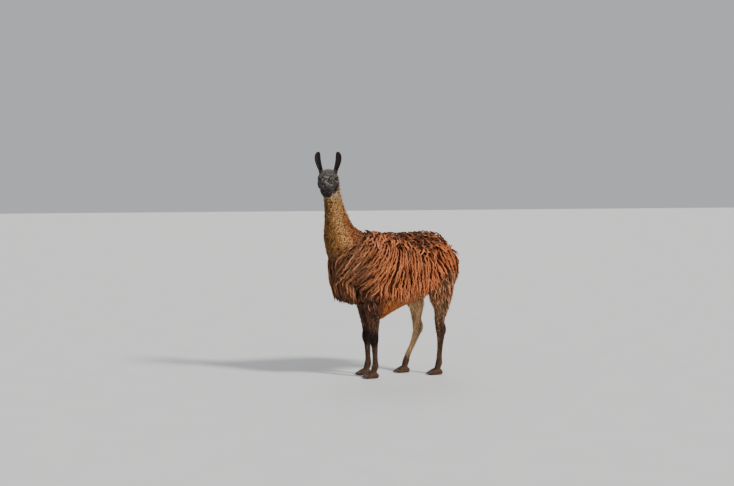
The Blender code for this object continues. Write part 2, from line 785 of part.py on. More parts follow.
def main():
    for old in list(bpy.data.objects):
        bpy.data.objects.remove(old)
    fleece = material("fleece", (0.27, 0.105, 0.045), 0.95)
    neck_wool = material("neck_wool", (0.30, 0.165, 0.075), 0.95)
    dark_hair = material("dark_hair", (0.050, 0.034, 0.026), 0.85)
    face_hair = material("face_hair", (0.045, 0.038, 0.036), 0.80)
    horn = material("nail_horn", (0.035, 0.028, 0.024), 0.45)
    eye_gloss = material("eye", (0.012, 0.008, 0.006), 0.08)

    # Torso and neck are modelled whole and parted by a thin cut
    body = wool_core()
    tree = tree_of(body)
    rng = random.Random(SEED)
    locks = spine_locks(tree, rng) + trunk_locks(tree, rng) + chest_locks(tree, rng)
    locks += rump_locks(tree, rng) + neck_locks(tree, rng)
    boolean(body, locks, "UNION")

    nodes = []
    sockets = []
    for leg in FORELEGS + HINDLEGS:
        made, socket = build_leg(leg, dark_hair, horn)
        nodes += made
        sockets.append(socket)
    nodes.append(build_tail(rng, fleece))
    for sections, depth in ((tail_sections(), TAIL_CORE_DEPTH + GAP), (tail_sections()[1:], TAIL_PARTING)):
        sockets.append(loft("tail_socket", sections, TAIL_SIDES, per_span=1, grow=depth, domes=TAIL_DOMES))
    boolean(body, sockets, "DIFFERENCE")
    neck, torso = parted(body, ("neck", "torso"), NECK_CUT, NECK_CUT_NORMAL)

    # The back of the head and the ears' roots are sunk in the neck's wool
    head = build_head(face_hair)
    place = head_place()
    sunk = [skull(GAP), cheek(1, GAP), cheek(-1, GAP)]
    for side, name in ((1, "left"), (-1, "right")):
        boolean(head, [ear(side, "ear_socket", GAP)], "DIFFERENCE")
        sunk.append(ear(side, "ear_socket", GAP))
        ball_of_eye = eye(side, name="eye_" + name)
        ball_of_eye.data.materials.append(eye_gloss)
        outer_ear = ear(side, "ear_" + name)
        outer_ear.data.materials.append(face_hair)
        for obj in (ball_of_eye, outer_ear):
            obj.data.transform(place)
            nodes.append(obj)
    for obj in (head, *sunk):
        obj.data.transform(place)
    boolean(neck, sunk, "DIFFERENCE")
    nodes += [head, neck, torso]
    neck.data.materials.append(neck_wool)
    torso.data.materials.append(fleece)
    centre_on_floor(nodes)


main()
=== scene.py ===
"""The looks of a life-size llama: one skin, eyes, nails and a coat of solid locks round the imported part.

Metres. Shapes are made in the animal's own frame: it faces -Y, its left side is +X, and its feet stand on
z = 0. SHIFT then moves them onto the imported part.
"""

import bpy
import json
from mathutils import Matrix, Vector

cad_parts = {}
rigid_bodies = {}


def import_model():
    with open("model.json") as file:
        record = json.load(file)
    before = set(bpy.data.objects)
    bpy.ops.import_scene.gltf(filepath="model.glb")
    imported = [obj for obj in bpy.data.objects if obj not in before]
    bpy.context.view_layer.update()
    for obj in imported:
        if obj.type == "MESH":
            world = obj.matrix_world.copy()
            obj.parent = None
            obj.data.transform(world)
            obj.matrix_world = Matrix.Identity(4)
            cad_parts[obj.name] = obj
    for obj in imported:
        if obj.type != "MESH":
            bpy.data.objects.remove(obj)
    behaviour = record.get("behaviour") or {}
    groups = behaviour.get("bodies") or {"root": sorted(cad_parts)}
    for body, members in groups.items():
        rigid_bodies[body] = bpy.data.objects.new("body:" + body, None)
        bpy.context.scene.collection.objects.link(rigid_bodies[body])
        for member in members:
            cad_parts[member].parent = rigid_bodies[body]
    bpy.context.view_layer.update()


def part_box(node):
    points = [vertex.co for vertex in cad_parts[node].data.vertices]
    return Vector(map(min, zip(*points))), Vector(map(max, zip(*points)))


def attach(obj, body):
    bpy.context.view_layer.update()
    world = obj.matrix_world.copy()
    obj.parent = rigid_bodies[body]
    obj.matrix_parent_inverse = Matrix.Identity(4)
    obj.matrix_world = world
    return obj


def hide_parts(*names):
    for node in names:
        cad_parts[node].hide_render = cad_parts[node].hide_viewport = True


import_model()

import json
import math
from collections import namedtuple

import bmesh
import bpy
import numpy as np
from mathutils import Matrix, Vector, noise
from mathutils.bvhtree import BVHTree

# Sizes shared with the solids

TAIL_ROOT = Vector((0.0, 0.480, 1.030))
TAIL_LENGTH = 0.25
ELBOW_HEIGHT = 0.66
KNEE_HEIGHT = 0.315
HOCK_HEIGHT = 0.372
FETLOCK_HEIGHT = 0.098
TOE_ACROSS = 0.0195
FORE_TRACK = 0.095
HIND_TRACK = 0.105
HEAD_ORIGIN = Vector((0.0, -0.545, 1.632))
HEAD_TURN = math.radians(67)
HEAD_PITCH = math.radians(22)
EYE_RADIUS = 0.0190
EYE_AHEAD, EYE_ACROSS, EYE_UP = 0.108, 0.0585, 0.027
EAR_LENGTH = 0.160
EAR_AHEAD, EAR_ACROSS, EAR_UP = 0.014, 0.056, 0.052
NOSTRIL_AHEAD, NOSTRIL_ACROSS, NOSTRIL_UP = 0.306, 0.0205, 0.003
MOUTH_UP = -0.026
MOUTH_BACK = 0.215
FLEECE_LIFT = 0.075  # from the skin to the tips of the fleece: its core and its locks
NECK_LIFT = 0.034
GAP = 0.0003

# Sizes of the looks

BODY_VOXEL, LEG_VOXEL, HEAD_VOXEL = 0.008, 0.004, 0.0021
SPAN_STEPS = 6  # rings from each section of a tube to the next
DOME_RINGS = 6
PATCH = 0.003  # a tuft's patch on the bake map
PIECE_TRIANGLES = 192000  # the most in one piece of the coat
Y = Vector((0, 1, 0))
SIDES = ((1, "left"), (-1, "right"))
rng = np.random.default_rng(5)


# Sections at the level of the skin. A row is x, y, z, half width, half depth, and then how egg-shaped it is
# and how far it turns about Z, where they aren't zero.


def upright(rows):
    """Sections across the Y axis, from rows of y, top, foot, half width and egg shape."""
    return [(0.0, y, (top + low) / 2, wide, (top - low) / 2, egg) for y, top, low, wide, egg in rows]


TRUNK = [
    (-0.470, 1.080, 0.715, 0.098, 0.05),
    (-0.360, 1.110, 0.655, 0.140, 0.10),
    (-0.240, 1.135, 0.615, 0.165, 0.08),
    (-0.130, 1.132, 0.612, 0.182, 0.00),
    (0.020, 1.128, 0.625, 0.190, -0.05),
    (0.160, 1.132, 0.665, 0.188, -0.08),
    (0.290, 1.136, 0.715, 0.168, -0.05),
    (0.380, 1.122, 0.755, 0.148, 0.05),
    (0.425, 1.080, 0.800, 0.118, 0.00),
]
HEM_Y = [row[0] for row in TRUNK]
HEM = [0.610, 0.580, 0.550, 0.475, 0.540, 0.600, 0.655, 0.700, 0.750]  # where its colours meet the legs'
SIDE_HEM_Y = [-0.47, -0.36, -0.24, -0.12, 0.0, 0.15, 0.29, 0.42]
SIDE_HEM = [0.640, 0.625, 0.650, 0.640, 0.655, 0.680, 0.725, 0.790]  # where the long locks of the side end
BACK_EDGE_Y = [-0.34, -0.10, 0.00, 0.12, 0.25, 0.33, 0.45]
BACK_EDGE = [1.100, 1.095, 1.080, 1.035, 0.990, 1.040, 1.050]  # where the matted wool of the back ends
BELLY = [
    (0.0, -0.135, 0.655, 0.140, 0.150),
    (0.0, -0.100, 0.650, 0.168, 0.165),
    (0.0, 0.020, 0.690, 0.176, 0.142),
    (0.0, 0.160, 0.725, 0.172, 0.118),
    (0.0, 0.290, 0.755, 0.150, 0.092),
]
NECK = [
    (0.0, -0.300, 0.970, 0.115, 0.165),
    (0.0, -0.380, 1.060, 0.110, 0.160),
    (0.0, -0.449, 1.165, 0.092, 0.122, 0.0, HEAD_TURN * 0.04),
    (0.0, -0.474, 1.270, 0.073, 0.093, 0.0, HEAD_TURN * 0.12),
    (0.004, -0.500, 1.385, 0.061, 0.071, 0.0, HEAD_TURN * 0.30),
    (0.008, -0.519, 1.490, 0.055, 0.060, 0.0, HEAD_TURN * 0.60),
    (0.006, -0.534, 1.575, 0.055, 0.059, 0.0, HEAD_TURN * 0.90),
    (-0.004, -0.540, 1.640, 0.048, 0.052, 0.0, HEAD_TURN),
]
HEAD = [
    (0.030, 0.046, -0.066, 0.062, 0.0),
    (-0.010, 0.064, -0.078, 0.073, 0.04),
    (-0.055, 0.075, -0.086, 0.079, 0.04),
    (-0.097, 0.071, -0.086, 0.077, 0.05),
    (-0.133, 0.057, -0.079, 0.067, -0.05),
    (-0.174, 0.042, -0.070, 0.060, -0.12),
    (-0.216, 0.032, -0.066, 0.055, -0.10),
    (-0.253, 0.026, -0.064, 0.050, -0.05),
    (-0.282, 0.019, -0.058, 0.044, 0.0),
]


def tail_sections():
    down, back = Vector((0.0, 0.0, -TAIL_LENGTH)), Vector((0.0, 0.085, 0.0))
    return [
        (*TAIL_ROOT, 0.030, 0.026),
        (*(TAIL_ROOT + down * 0.15 + back * 0.60), 0.036, 0.030),
        (*(TAIL_ROOT + down * 0.45 + back * 0.95), 0.037, 0.028),
        (*(TAIL_ROOT + down * 0.75 + back), 0.029, 0.024),
        (*(TAIL_ROOT + down + back * 0.92), 0.014, 0.013),
    ]


Leg = namedtuple("Leg", "name side x foot_y limb shank")


def foreleg(name, side, foot_y):
    """The shoulder, and the leg from the elbow to the fetlock."""
    x, knee_y = side * FORE_TRACK, foot_y - 0.012
    limb = [
        (x * 0.80, -0.20, 1.03, 0.040, 0.070),
        (x * 1.05, -0.25, 0.90, 0.062, 0.105),
        (x * 1.10, -0.26, 0.79, 0.066, 0.105),
        (x * 1.06, -0.22, 0.70, 0.056, 0.085),
        (x * 1.02, -0.20, 0.65, 0.046, 0.066),
    ]
    shank = [
        (x * 1.04, foot_y - 0.028, ELBOW_HEIGHT, 0.046, 0.070),
        (x * 1.03, foot_y - 0.022, 0.575, 0.043, 0.062),
        (x * 1.01, foot_y - 0.014, 0.475, 0.034, 0.046),
        (x, foot_y - 0.010, 0.385, 0.028, 0.034),
        (x, knee_y, KNEE_HEIGHT, 0.031, 0.035),
        (x, knee_y + 0.006, 0.265, 0.024, 0.026),
        (x, foot_y - 0.002, 0.190, 0.0185, 0.0205),
        (x, foot_y, 0.130, 0.020, 0.022),
        (x, foot_y, FETLOCK_HEIGHT, 0.025, 0.027),
        (x, foot_y - 0.012, 0.060, 0.023, 0.025),
        (x, foot_y - 0.020, 0.030, 0.026, 0.030),
    ]
    return Leg(name, side, x, foot_y, limb, shank)


def hindleg(name, side, stifle_y, hock_y, foot_y):
    """The thigh, and the leg from the stifle to the fetlock."""
    x, back = side * HIND_TRACK, hock_y - foot_y
    limb = [
        (x * 0.85, 0.34, 1.02, 0.060, 0.090),
        (x * 1.02, 0.365, 0.90, 0.078, 0.125),
        (x * 1.08, (0.365 + stifle_y) / 2 + 0.03, 0.79, 0.074, 0.122),
        (x * 1.08, stifle_y + 0.063, 0.69, 0.062, 0.098),
        (x * 1.06, stifle_y + 0.070, 0.60, 0.044, 0.066),
    ]
    shank = [
        (x * 1.06, stifle_y + 0.055, 0.71, 0.052, 0.082),
        (x * 1.05, stifle_y + 0.070, 0.63, 0.044, 0.068),
        (x * 1.03, (stifle_y + 0.07 + hock_y) / 2, 0.54, 0.036, 0.052),
        (x, hock_y - 0.012, 0.45, 0.027, 0.037),
        (x, hock_y, HOCK_HEIGHT, 0.027, 0.041),
        (x, hock_y - back * 0.12, 0.325, 0.024, 0.031),
        (x, hock_y - back * 0.45, 0.235, 0.0195, 0.0215),
        (x, foot_y + back * 0.15, 0.150, 0.020, 0.021),
        (x, foot_y, FETLOCK_HEIGHT, 0.025, 0.026),
        (x, foot_y - 0.012, 0.060, 0.023, 0.025),
        (x, foot_y - 0.018, 0.030, 0.026, 0.030),
    ]
    return Leg(name, side, x, foot_y, limb, shank)


LEGS = [
    foreleg("foreleg_left", 1, -0.178),
    foreleg("foreleg_right", -1, -0.165),
    hindleg("hindleg_left", 1, 0.330, 0.405, 0.388),
    hindleg("hindleg_right", -1, 0.195, 0.290, 0.183),
]


def toe_sections(leg, inner):
    x, y = leg.x + inner * TOE_ACROSS, leg.foot_y
    return [
        (x, y + 0.012, 0.018, 0.0165, 0.0190),
        (x, y - 0.012, 0.025, 0.0195, 0.0280),
        (x + inner * 0.002, y - 0.044, 0.022, 0.0195, 0.0250),
        (x + inner * 0.003, y - 0.074, 0.015, 0.0160, 0.0170),
    ]


def nail_sections(leg, inner):
    x, y = leg.x + inner * (TOE_ACROSS + 0.003), leg.foot_y
    return [
        (x, y - 0.060, 0.0235, 0.0125, 0.0095),
        (x, y - 0.078, 0.0215, 0.0128, 0.0098),
        (x - inner * 0.001, y - 0.092, 0.0165, 0.0098, 0.0085),
        (x - inner * 0.002, y - 0.102, 0.0105, 0.0058, 0.0060),
        (x - inner * 0.003, y - 0.108, 0.0055, 0.0022, 0.0028),
    ]


# Places and tubes


def turned(vectors, matrix):
    return vectors @ np.array(matrix)[:3, :3].T


def moved(points, matrix):
    return turned(points, matrix) + np.array(matrix)[:3, 3]


def eye_centre(side):
    return Vector((side * EYE_ACROSS, -EYE_AHEAD, EYE_UP))


TURNED_HEAD = Matrix.Rotation(HEAD_TURN, 4, "Z") @ Matrix.Rotation(HEAD_PITCH, 4, "X")
HEAD_PLACE = Matrix.Translation(HEAD_ORIGIN) @ TURNED_HEAD
HEAD_INVERSE = HEAD_PLACE.inverted()
eye_low, eye_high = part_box("eye_left")
SHIFT = (Vector(eye_low) + Vector(eye_high)) / 2 - HEAD_PLACE @ eye_centre(1)


def in_head(points):
    """The points in the head's own frame: facing -Y, level, with its origin at the joint with the neck."""
    return moved(points, HEAD_INVERSE)


def unit(vectors):
    return vectors / np.maximum(np.linalg.norm(vectors, axis=-1, keepdims=True), 1e-9)


def interpolated(rows):
    """Rows of numbers with SPAN_STEPS steps from each to the next, on a smooth curve."""
    rows = np.array(rows, float)
    padded = np.vstack([rows[:1], rows, rows[-1:]])
    slopes = (padded[2:] - padded[:-2]) / 2
    out = []
    for i in range(len(rows) - 1):
        for t in np.arange(SPAN_STEPS) / SPAN_STEPS:
            out.append(
                (1 + 2 * t) * (1 - t) ** 2 * rows[i]
                + t * (1 - t) ** 2 * slopes[i]
                + t * t * (3 - 2 * t) * rows[i + 1]
                + t * t * (t - 1) * slopes[i + 1]
            )
    return np.array([*out, rows[-1]])


class Tube:
    """A closed tube through elliptical sections with rounded ends. A place on it is (along, angle)."""

    def __init__(self, sections, domes, facing=None):
        rows = interpolated([(*row, 0.0, 0.0)[:7] for row in sections])
        ways = unit(np.gradient(rows[:, :3], axis=0))
        if facing:
            ways[:] = facing
        first = self.dome(rows[0], -ways[0], domes[0])[::-1]
        last = self.dome(rows[-1], ways[-1], domes[1])
        rows = np.vstack([first, rows, last])
        ways = np.vstack([np.repeat(ways[:1], len(first), 0), ways, np.repeat(ways[-1:], len(last), 0)])
        turn = rows[:, 6]
        across = np.stack([np.cos(turn), np.sin(turn), np.zeros_like(turn)], 1)
        across = unit(across - ways * (across * ways).sum(1, keepdims=True))
        steps = np.linalg.norm(np.diff(rows[:, :3], axis=0), axis=1)
        self.length = steps.sum()
        self.reach = np.concatenate([[0], np.cumsum(steps)]) / self.length
        self.table = np.hstack([rows[:, :6], across, np.cross(across, ways)])

    @staticmethod
    def dome(row, way, length):
        out = []
        for k in range(1, DOME_RINGS + 1):
            angle = math.pi / 2 * k / (DOME_RINGS + 0.35)
            ring = row.copy()
            ring[:3] += way * length * math.sin(angle)
            ring[3:5] *= math.cos(angle)
            out.append(ring)
        return np.array(out)

    def at(self, along, angle):
        """The points at arrays of along, from 0 to 1, and angle."""
        row = np.stack([np.interp(along, self.reach, self.table[:, k]) for k in range(12)], 1)
        wide = row[:, 3] * np.cos(angle) * (1 + row[:, 5] * np.sin(angle))
        return row[:, :3] + row[:, 6:9] * wide[:, None] + row[:, 9:12] * (row[:, 4] * np.sin(angle))[:, None]

    def mesh(self, name, sides=40):
        angles = np.arange(sides) * 2 * math.pi / sides
        points = self.at(np.repeat(self.reach, sides), np.tile(angles, len(self.reach)))
        return lofted(name, points.reshape(-1, sides, 3))

    def scatter(self, spacing, span):
        """Staggered, jittered places about spacing apart all over the tube, as (along, angle)."""
        dense = np.linspace(0, 2 * math.pi, 73)
        courses = max(2, round(self.length * (span[1] - span[0]) / spacing))
        alongs, angles = [], []
        for i in range(courses):
            along = span[0] + (span[1] - span[0]) * (i + 0.5) / courses
            loop = self.at(np.full(73, along), dense)
            arc = np.concatenate([[0], np.cumsum(np.linalg.norm(np.diff(loop, axis=0), axis=1))])
            count = max(3, round(arc[-1] / spacing))
            spots = (np.arange(count) + 0.5 * (i % 2) + rng.uniform(-0.42, 0.42, count)) % count / count
            angles.append(np.interp(spots * arc[-1], arc, dense))
            alongs.append(along + rng.uniform(-0.5, 0.5, count) * spacing / self.length)
        return np.clip(np.concatenate(alongs), 0, 1), np.concatenate(angles)


TRUNK_TUBE = Tube(upright(TRUNK), (0.03, 0.03), Y)
BELLY_TUBE = Tube(BELLY, (0.02, 0.03), Y)
NECK_TUBE = Tube(NECK, (0.02, 0.02))


def limb_tube(leg):
    return Tube(leg.limb, (0.02, 0.01))


def shank_tube(leg):
    return Tube(leg.shank, (0.02, 0.01))


def toe_tube(leg, inner):
    return Tube(toe_sections(leg, inner), (0.012, 0.016))


# Mesh helpers


def new_object(name, mesh):
    obj = bpy.data.objects.new(name, mesh)
    bpy.context.scene.collection.objects.link(obj)
    return obj


def object_from(name, points, faces):
    mesh = bpy.data.meshes.new(name)
    mesh.from_pydata([tuple(p) for p in points], [], faces)
    work = bmesh.new()
    work.from_mesh(mesh)
    bmesh.ops.recalc_face_normals(work, faces=work.faces)
    work.to_mesh(mesh)
    work.free()
    return new_object(name, mesh)


def lofted(name, loops):
    """A closed mesh through loops of points, with a flat face at each end."""
    sides, rows = len(loops[0]), len(loops)
    faces = []
    for i in range(rows - 1):
        for k in range(sides):
            nxt = (k + 1) % sides
            faces.append((i * sides + k, i * sides + nxt, (i + 1) * sides + nxt, (i + 1) * sides + k))
    faces.append(tuple(reversed(range(sides))))
    faces.append(tuple(range((rows - 1) * sides, rows * sides)))
    return object_from(name, [point for loop in loops for point in loop], faces)


def remove(obj):
    mesh = obj.data
    bpy.data.objects.remove(obj)
    bpy.data.meshes.remove(mesh)


def applied(obj):
    """Replaces the object's mesh by its evaluated one and drops its modifiers."""
    graph = bpy.context.evaluated_depsgraph_get()
    mesh = bpy.data.meshes.new_from_object(obj.evaluated_get(graph))
    old = obj.data
    obj.modifiers.clear()
    obj.data = mesh
    bpy.data.meshes.remove(old)
    return obj


def merged(name, parts, voxel, smoothings):
    """One closed, even mesh round several overlapping ones."""
    work = bmesh.new()
    for part in parts:
        work.from_mesh(part.data)
        remove(part)
    mesh = bpy.data.meshes.new(name)
    work.to_mesh(mesh)
    work.free()
    obj = new_object(name, mesh)
    remesh = obj.modifiers.new("Remesh", "REMESH")
    remesh.mode = "VOXEL"
    remesh.voxel_size = voxel
    smooth = obj.modifiers.new("Smooth", "SMOOTH")
    smooth.factor = 0.5
    smooth.iterations = smoothings
    return applied(obj)


def boolean(obj, others, operation):
    group = bpy.data.collections.new("operands")
    bpy.context.scene.collection.children.link(group)
    for other in others:
        bpy.context.scene.collection.objects.unlink(other)
        group.objects.link(other)
    modifier = obj.modifiers.new("Boolean", "BOOLEAN")
    modifier.operand_type = "COLLECTION"
    modifier.collection = group
    modifier.operation = operation
    modifier.solver = "MANIFOLD"
    applied(obj)
    for other in list(group.objects):
        remove(other)
    bpy.data.collections.remove(group)
    return obj


def ball(name, centre, radii, segments=32, rings=20):
    work = bmesh.new()
    bmesh.ops.create_uvsphere(work, u_segments=segments, v_segments=rings, radius=1.0)
    mesh = bpy.data.meshes.new(name)
    work.transform(Matrix.Translation(centre) @ Matrix.Diagonal((*radii, 1)))
    work.to_mesh(mesh)
    work.free()
    return new_object(name, mesh)


def tree_of(obj):
    work = bmesh.new()
    work.from_mesh(obj.data)
    tree = BVHTree.FromBMesh(work)
    work.free()
    return tree


def points_of(obj, what="co"):
    values = np.empty(len(obj.data.vertices) * 3)
    obj.data.vertices.foreach_get(what, values)
    return values.reshape(-1, 3)


# Head, in its own frame

EAR_ARC = math.radians(258)
EAR_WALL = 0.0032
EAR_FOOT = -0.12  # how far the shell goes on below the skull, as a share of its length
GAZE = math.radians(46)  # how far the eyes look forward of straight out
RAISED = math.radians(13)  # and up, as the head points down
LID = 0.0030
ALMOND_WIDTH, ALMOND_HEIGHT = 0.0180, 0.0152  # half the opening between the lids
HEAD_FORMS = {
    "cheek": ((0.052, -0.060, -0.034), (0.031, 0.058, 0.042)),
    "brow": ((0.0525, -(EYE_AHEAD - 0.014), EYE_UP + 0.0255), (0.0185, 0.0240, 0.0070)),
    "upper_lid": ((0.0600, -(EYE_AHEAD + 0.004), EYE_UP + 0.0130), (0.0160, 0.0170, 0.0110)),
    "orbit": ((0.0560, -(EYE_AHEAD - 0.020), EYE_UP), (0.0230, 0.0220, 0.0230)),
    "cheekbone": ((0.0540, -(EYE_AHEAD - 0.004), EYE_UP - 0.0240), (0.0140, 0.0300, 0.0075)),
    "ear_base": ((0.0520, -0.012, 0.044), (0.0215, 0.0210, 0.0230)),
    "muzzle": ((0.0120, -0.258, -0.016), (0.0400, 0.0520, 0.0370)),
    "nostril_wing": ((0.0200, -0.284, 0.004), (0.0150, 0.0230, 0.0165)),
    "upper_lip": ((0.0165, -0.290, -0.015), (0.0205, 0.0270, 0.0160)),
    "lower_lip": ((0.0130, -0.278, -0.042), (0.0210, 0.0290, 0.0145)),
}


def ear_width(t):
    """Half the width of an ear at t up it: nearly even, with a rounded tip."""
    bulge = 0.0178 + 0.0062 * np.sin(math.pi * np.clip(t, 0, 1) ** 1.3)
    return bulge * np.sqrt(1.003 - np.clip((t - 0.76) / 0.24, 0, 1) ** 2.6)


def ear_at(side, t, turn, inset):
    """Points of an ear in its own upright frame: t up it, turn from -0.5 to 0.5 round its shell."""
    lean = side * (0.036 * np.sin(math.pi * 0.5 * t) - 0.014 * t**3)
    back = 0.006 * np.sin(math.pi * t)
    radius = np.maximum(ear_width(t) - inset, 0.0010)
    angle = math.pi / 2 + turn * EAR_ARC
    across, deep = radius * np.cos(angle), 0.62 * radius * np.sin(angle)
    return np.stack([lean + across, back + deep, EAR_LENGTH * t], -1)


def ear_place(side):
    swing = Matrix.Rotation(side * math.radians(-16), 4, "Z")
    upright_again = Matrix.Rotation(-HEAD_PITCH * 0.6, 4, "X")
    return Matrix.Translation((side * EAR_ACROSS, -EAR_AHEAD, EAR_UP)) @ upright_again @ swing


def ear_shell(side, steps=30, around=22):
    """One long ear, open to the front and curving inward at its tip like a banana."""
    turns = np.linspace(-0.5, 0.5, around)
    loops = []
    for t in np.linspace(EAR_FOOT, 1, steps + 1):
        outer, inner = (ear_at(side, np.full(around, t), turns, inset) for inset in (0, EAR_WALL))
        loops.append([*outer, *inner[::-1]])
    made = lofted("ear", loops)
    made.data.transform(ear_place(side))
    return made


def eye_place(side):
    """The eye's own frame: looking along side * X, tipped down at its front corner."""
    aimed = Matrix.Rotation(-side * GAZE, 4, "Z") @ Matrix.Rotation(-side * RAISED, 4, "Y")
    return Matrix.Translation(eye_centre(side)) @ aimed @ Matrix.Rotation(math.radians(12), 4, "X")


def almond(side):
    """A lens-shaped prism that opens the lids in front of the eye."""
    arc = [math.pi * i / 16 for i in range(16)]
    outline = [(-ALMOND_WIDTH * math.cos(t), ALMOND_HEIGHT * 0.92 * math.sin(t) ** 0.85) for t in arc]
    outline += [(ALMOND_WIDTH * math.cos(t), -ALMOND_HEIGHT * 0.80 * math.sin(t) ** 0.9) for t in arc]
    made = lofted("almond", [[(side * depth, y, z) for y, z in outline] for depth in (0.004, 0.045)])
    made.data.transform(eye_place(side))
    return made


def mouth_groove(steps=28, half_open=0.0021):
    """A thin wedge that cuts the line of the mouth round the muzzle."""
    loops = []
    for i in range(steps + 1):
        angle = math.pi * i / steps
        x, y = 0.062 * math.cos(angle), -MOUTH_BACK - 0.110 * math.sin(angle)
        middle = MOUTH_UP - 0.16 * (y + MOUTH_BACK + 0.11)
        inner = (0.66 * x, -MOUTH_BACK + (y + MOUTH_BACK) * 0.80, middle)
        loops.append([(x, y, middle + half_open), inner, (x, y, middle - half_open)])
    return lofted("mouth_groove", loops)


def nostril_centre(side):
    return Vector((side * NOSTRIL_ACROSS, -NOSTRIL_AHEAD, NOSTRIL_UP))


def nostril(side):
    hole = ball("nostril", (0, 0, 0), (0.0032, 0.0130, 0.0085))
    tilt = Matrix.Rotation(math.radians(28) * side, 4, "Y")
    swing = Matrix.Rotation(math.radians(18) * side, 4, "Z")
    hole.data.transform(Matrix.Translation(nostril_centre(side)) @ (tilt @ swing))
    return hole


def wrinkled(obj, depth, scale):
    """Moves each vertex a little along its normal by a noise, for folds."""
    points = points_of(obj)
    shift = np.array([noise.noise(Vector(p) * scale) for p in points]) * depth
    points += points_of(obj, "normal") * shift[:, None]
    obj.data.vertices.foreach_set("co", points.ravel())


def head_skin():
    forms = [Tube(upright(HEAD), (0.030, 0.032)).mesh("skull", 56)]
    for side, _ in SIDES:
        forms += [ball(name, (side * x, y, z), radii) for name, ((x, y, z), radii) in HEAD_FORMS.items()]
    head = merged("head_skin", forms, HEAD_VOXEL, 5)
    wrinkled(head, 0.0008, Vector((95, 60, 130)))
    lids, openings, ears = [], [], []
    for side, _ in SIDES:
        centre = eye_centre(side)
        lids.append(ball("lids", centre, (EYE_RADIUS + LID,) * 3, 48, 32))
        openings += [almond(side), ball("socket", centre, (EYE_RADIUS + GAP,) * 3, 48, 32), nostril(side)]
        ears.append(ear_shell(side))
    boolean(head, lids, "UNION")
    cleft = ball("cleft", (0, -0.322, -0.010), (0.0012, 0.014, 0.015))
    boolean(head, [*openings, cleft, mouth_groove()], "DIFFERENCE")
    boolean(head, ears, "UNION")
    head.data.transform(HEAD_PLACE)
    return head


# Skin


def body_skin():
    """Trunk, neck, shoulders, thighs and tail at the level of the skin, and the legs down to their toes."""
    tubes = [TRUNK_TUBE, NECK_TUBE, BELLY_TUBE, Tube(tail_sections(), (0.03, 0.01))]
    legs = []
    for leg in LEGS:
        tubes.append(limb_tube(leg))
        legs += [shank_tube(leg), toe_tube(leg, 1), toe_tube(leg, -1)]
    body = merged("body_skin", [tube.mesh("part") for tube in tubes], BODY_VOXEL, 8)
    limbs = merged("limbs", [tube.mesh("leg") for tube in legs], LEG_VOXEL, 4)
    points = points_of(limbs)
    points[:, 2] = np.maximum(points[:, 2], 0.0004)
    limbs.data.vertices.foreach_set("co", points.ravel())
    return boolean(body, [limbs], "UNION")


def build_skin():
    skin = boolean(body_skin(), [head_skin()], "UNION")
    skin.name = "skin"
    skin.data.shade_smooth()
    return skin


# Colours, written as sRGB values of 0 to 255


def linear(red, green, blue):
    value = np.array([red, green, blue]) / 255
    return np.where(value <= 0.04045, value / 12.92, ((value + 0.055) / 1.055) ** 2.4)


FLEECE = linear(206, 122, 76)
FLEECE_BACK = linear(108, 74, 53)
FLEECE_RUMP = linear(194, 107, 58)
CHEST = linear(130, 83, 54)
APRON = linear(94, 56, 35)
BELLY_WOOL = linear(172, 100, 42)
THIGH = linear(156, 104, 72)
THIGH_LOW = linear(146, 110, 80)
NECK_SIDE = linear(196, 147, 91)
NECK_FRONT = linear(156, 108, 56)
NECK_REAR = linear(158, 96, 58)
LEG_UPPER = linear(84, 53, 39)
LEG_LOWER = linear(98, 70, 51)
KNEE = linear(42, 26, 20)
# The far hind leg's paler hair, brightened as painted sunlight where the body shades it.
FAR_HIND_PAINTED_SUN = linear(255, 206, 150)
FACE = linear(54, 49, 49)
# Grey face hair, partly painted light, for the forehead, the bridge and the ring round each eye.
FACE_GREY_PAINTED_LIGHT = linear(104, 97, 93)
FACE_DARK = linear(28, 22, 22)
FACE_PALE = linear(150, 142, 136)
MUZZLE = linear(46, 38, 37)
THROAT = linear(216, 184, 156)
EAR = linear(20, 16, 15)
EAR_INSIDE = linear(84, 74, 69)


def ramp(value, low, high):
    """0 below low, 1 above high, and smooth between, as a column."""
    t = np.clip((value - low) / (high - low), 0, 1)
    return (t * t * (3 - 2 * t))[:, None]


def mixed(first, second, share):
    return first * (1 - share) + second * share


def patches(points, scale, seed):
    """A slow noise from 0 to 1 over the points, as a column."""
    offset = Vector((seed * 7.3, seed * 3.1, seed * 5.7))
    return np.array([0.5 + 0.5 * noise.noise(Vector(p) * scale + offset) for p in points])[:, None]


def over_side_hem(points):
    return points[:, 2] - np.interp(points[:, 1], SIDE_HEM_Y, SIDE_HEM)


def over_back_edge(points):
    return points[:, 2] - np.interp(points[:, 1], BACK_EDGE_Y, BACK_EDGE)


def fleece_colour(points):
    _, y, z = points.T
    colour = mixed(FLEECE, FLEECE_RUMP, ramp(y, 0.20, 0.42))
    colour = mixed(colour, FLEECE_BACK, ramp(z, 1.06, 1.19) * (1 - 0.6 * ramp(y, 0.05, 0.35)))
    # Painted shadow in a band just below the lower edge of the matted back wool.
    below = np.abs(z + 0.018 - np.interp(y, BACK_EDGE_Y, BACK_EDGE))
    crease_shadow = (1 - ramp(below, 0.006, 0.026)) * ramp(y, -0.12, -0.04) * (1 - ramp(y, 0.28, 0.34))
    colour = colour * (1 - 0.62 * crease_shadow)
    chest = 1 - ramp(y, -0.36, -0.10)
    colour = mixed(colour, CHEST, chest)
    colour = mixed(colour, APRON, chest * (1 - ramp(z, 0.62, 0.86)))
    under = 1 - ramp(over_side_hem(points), -0.09, 0.05)
    colour = mixed(colour, BELLY_WOOL, under * ramp(y, -0.16, -0.10))
    return mixed(colour, THIGH, ramp(y, 0.30, 0.36) * (1 - ramp(z, 0.84, 0.94)))


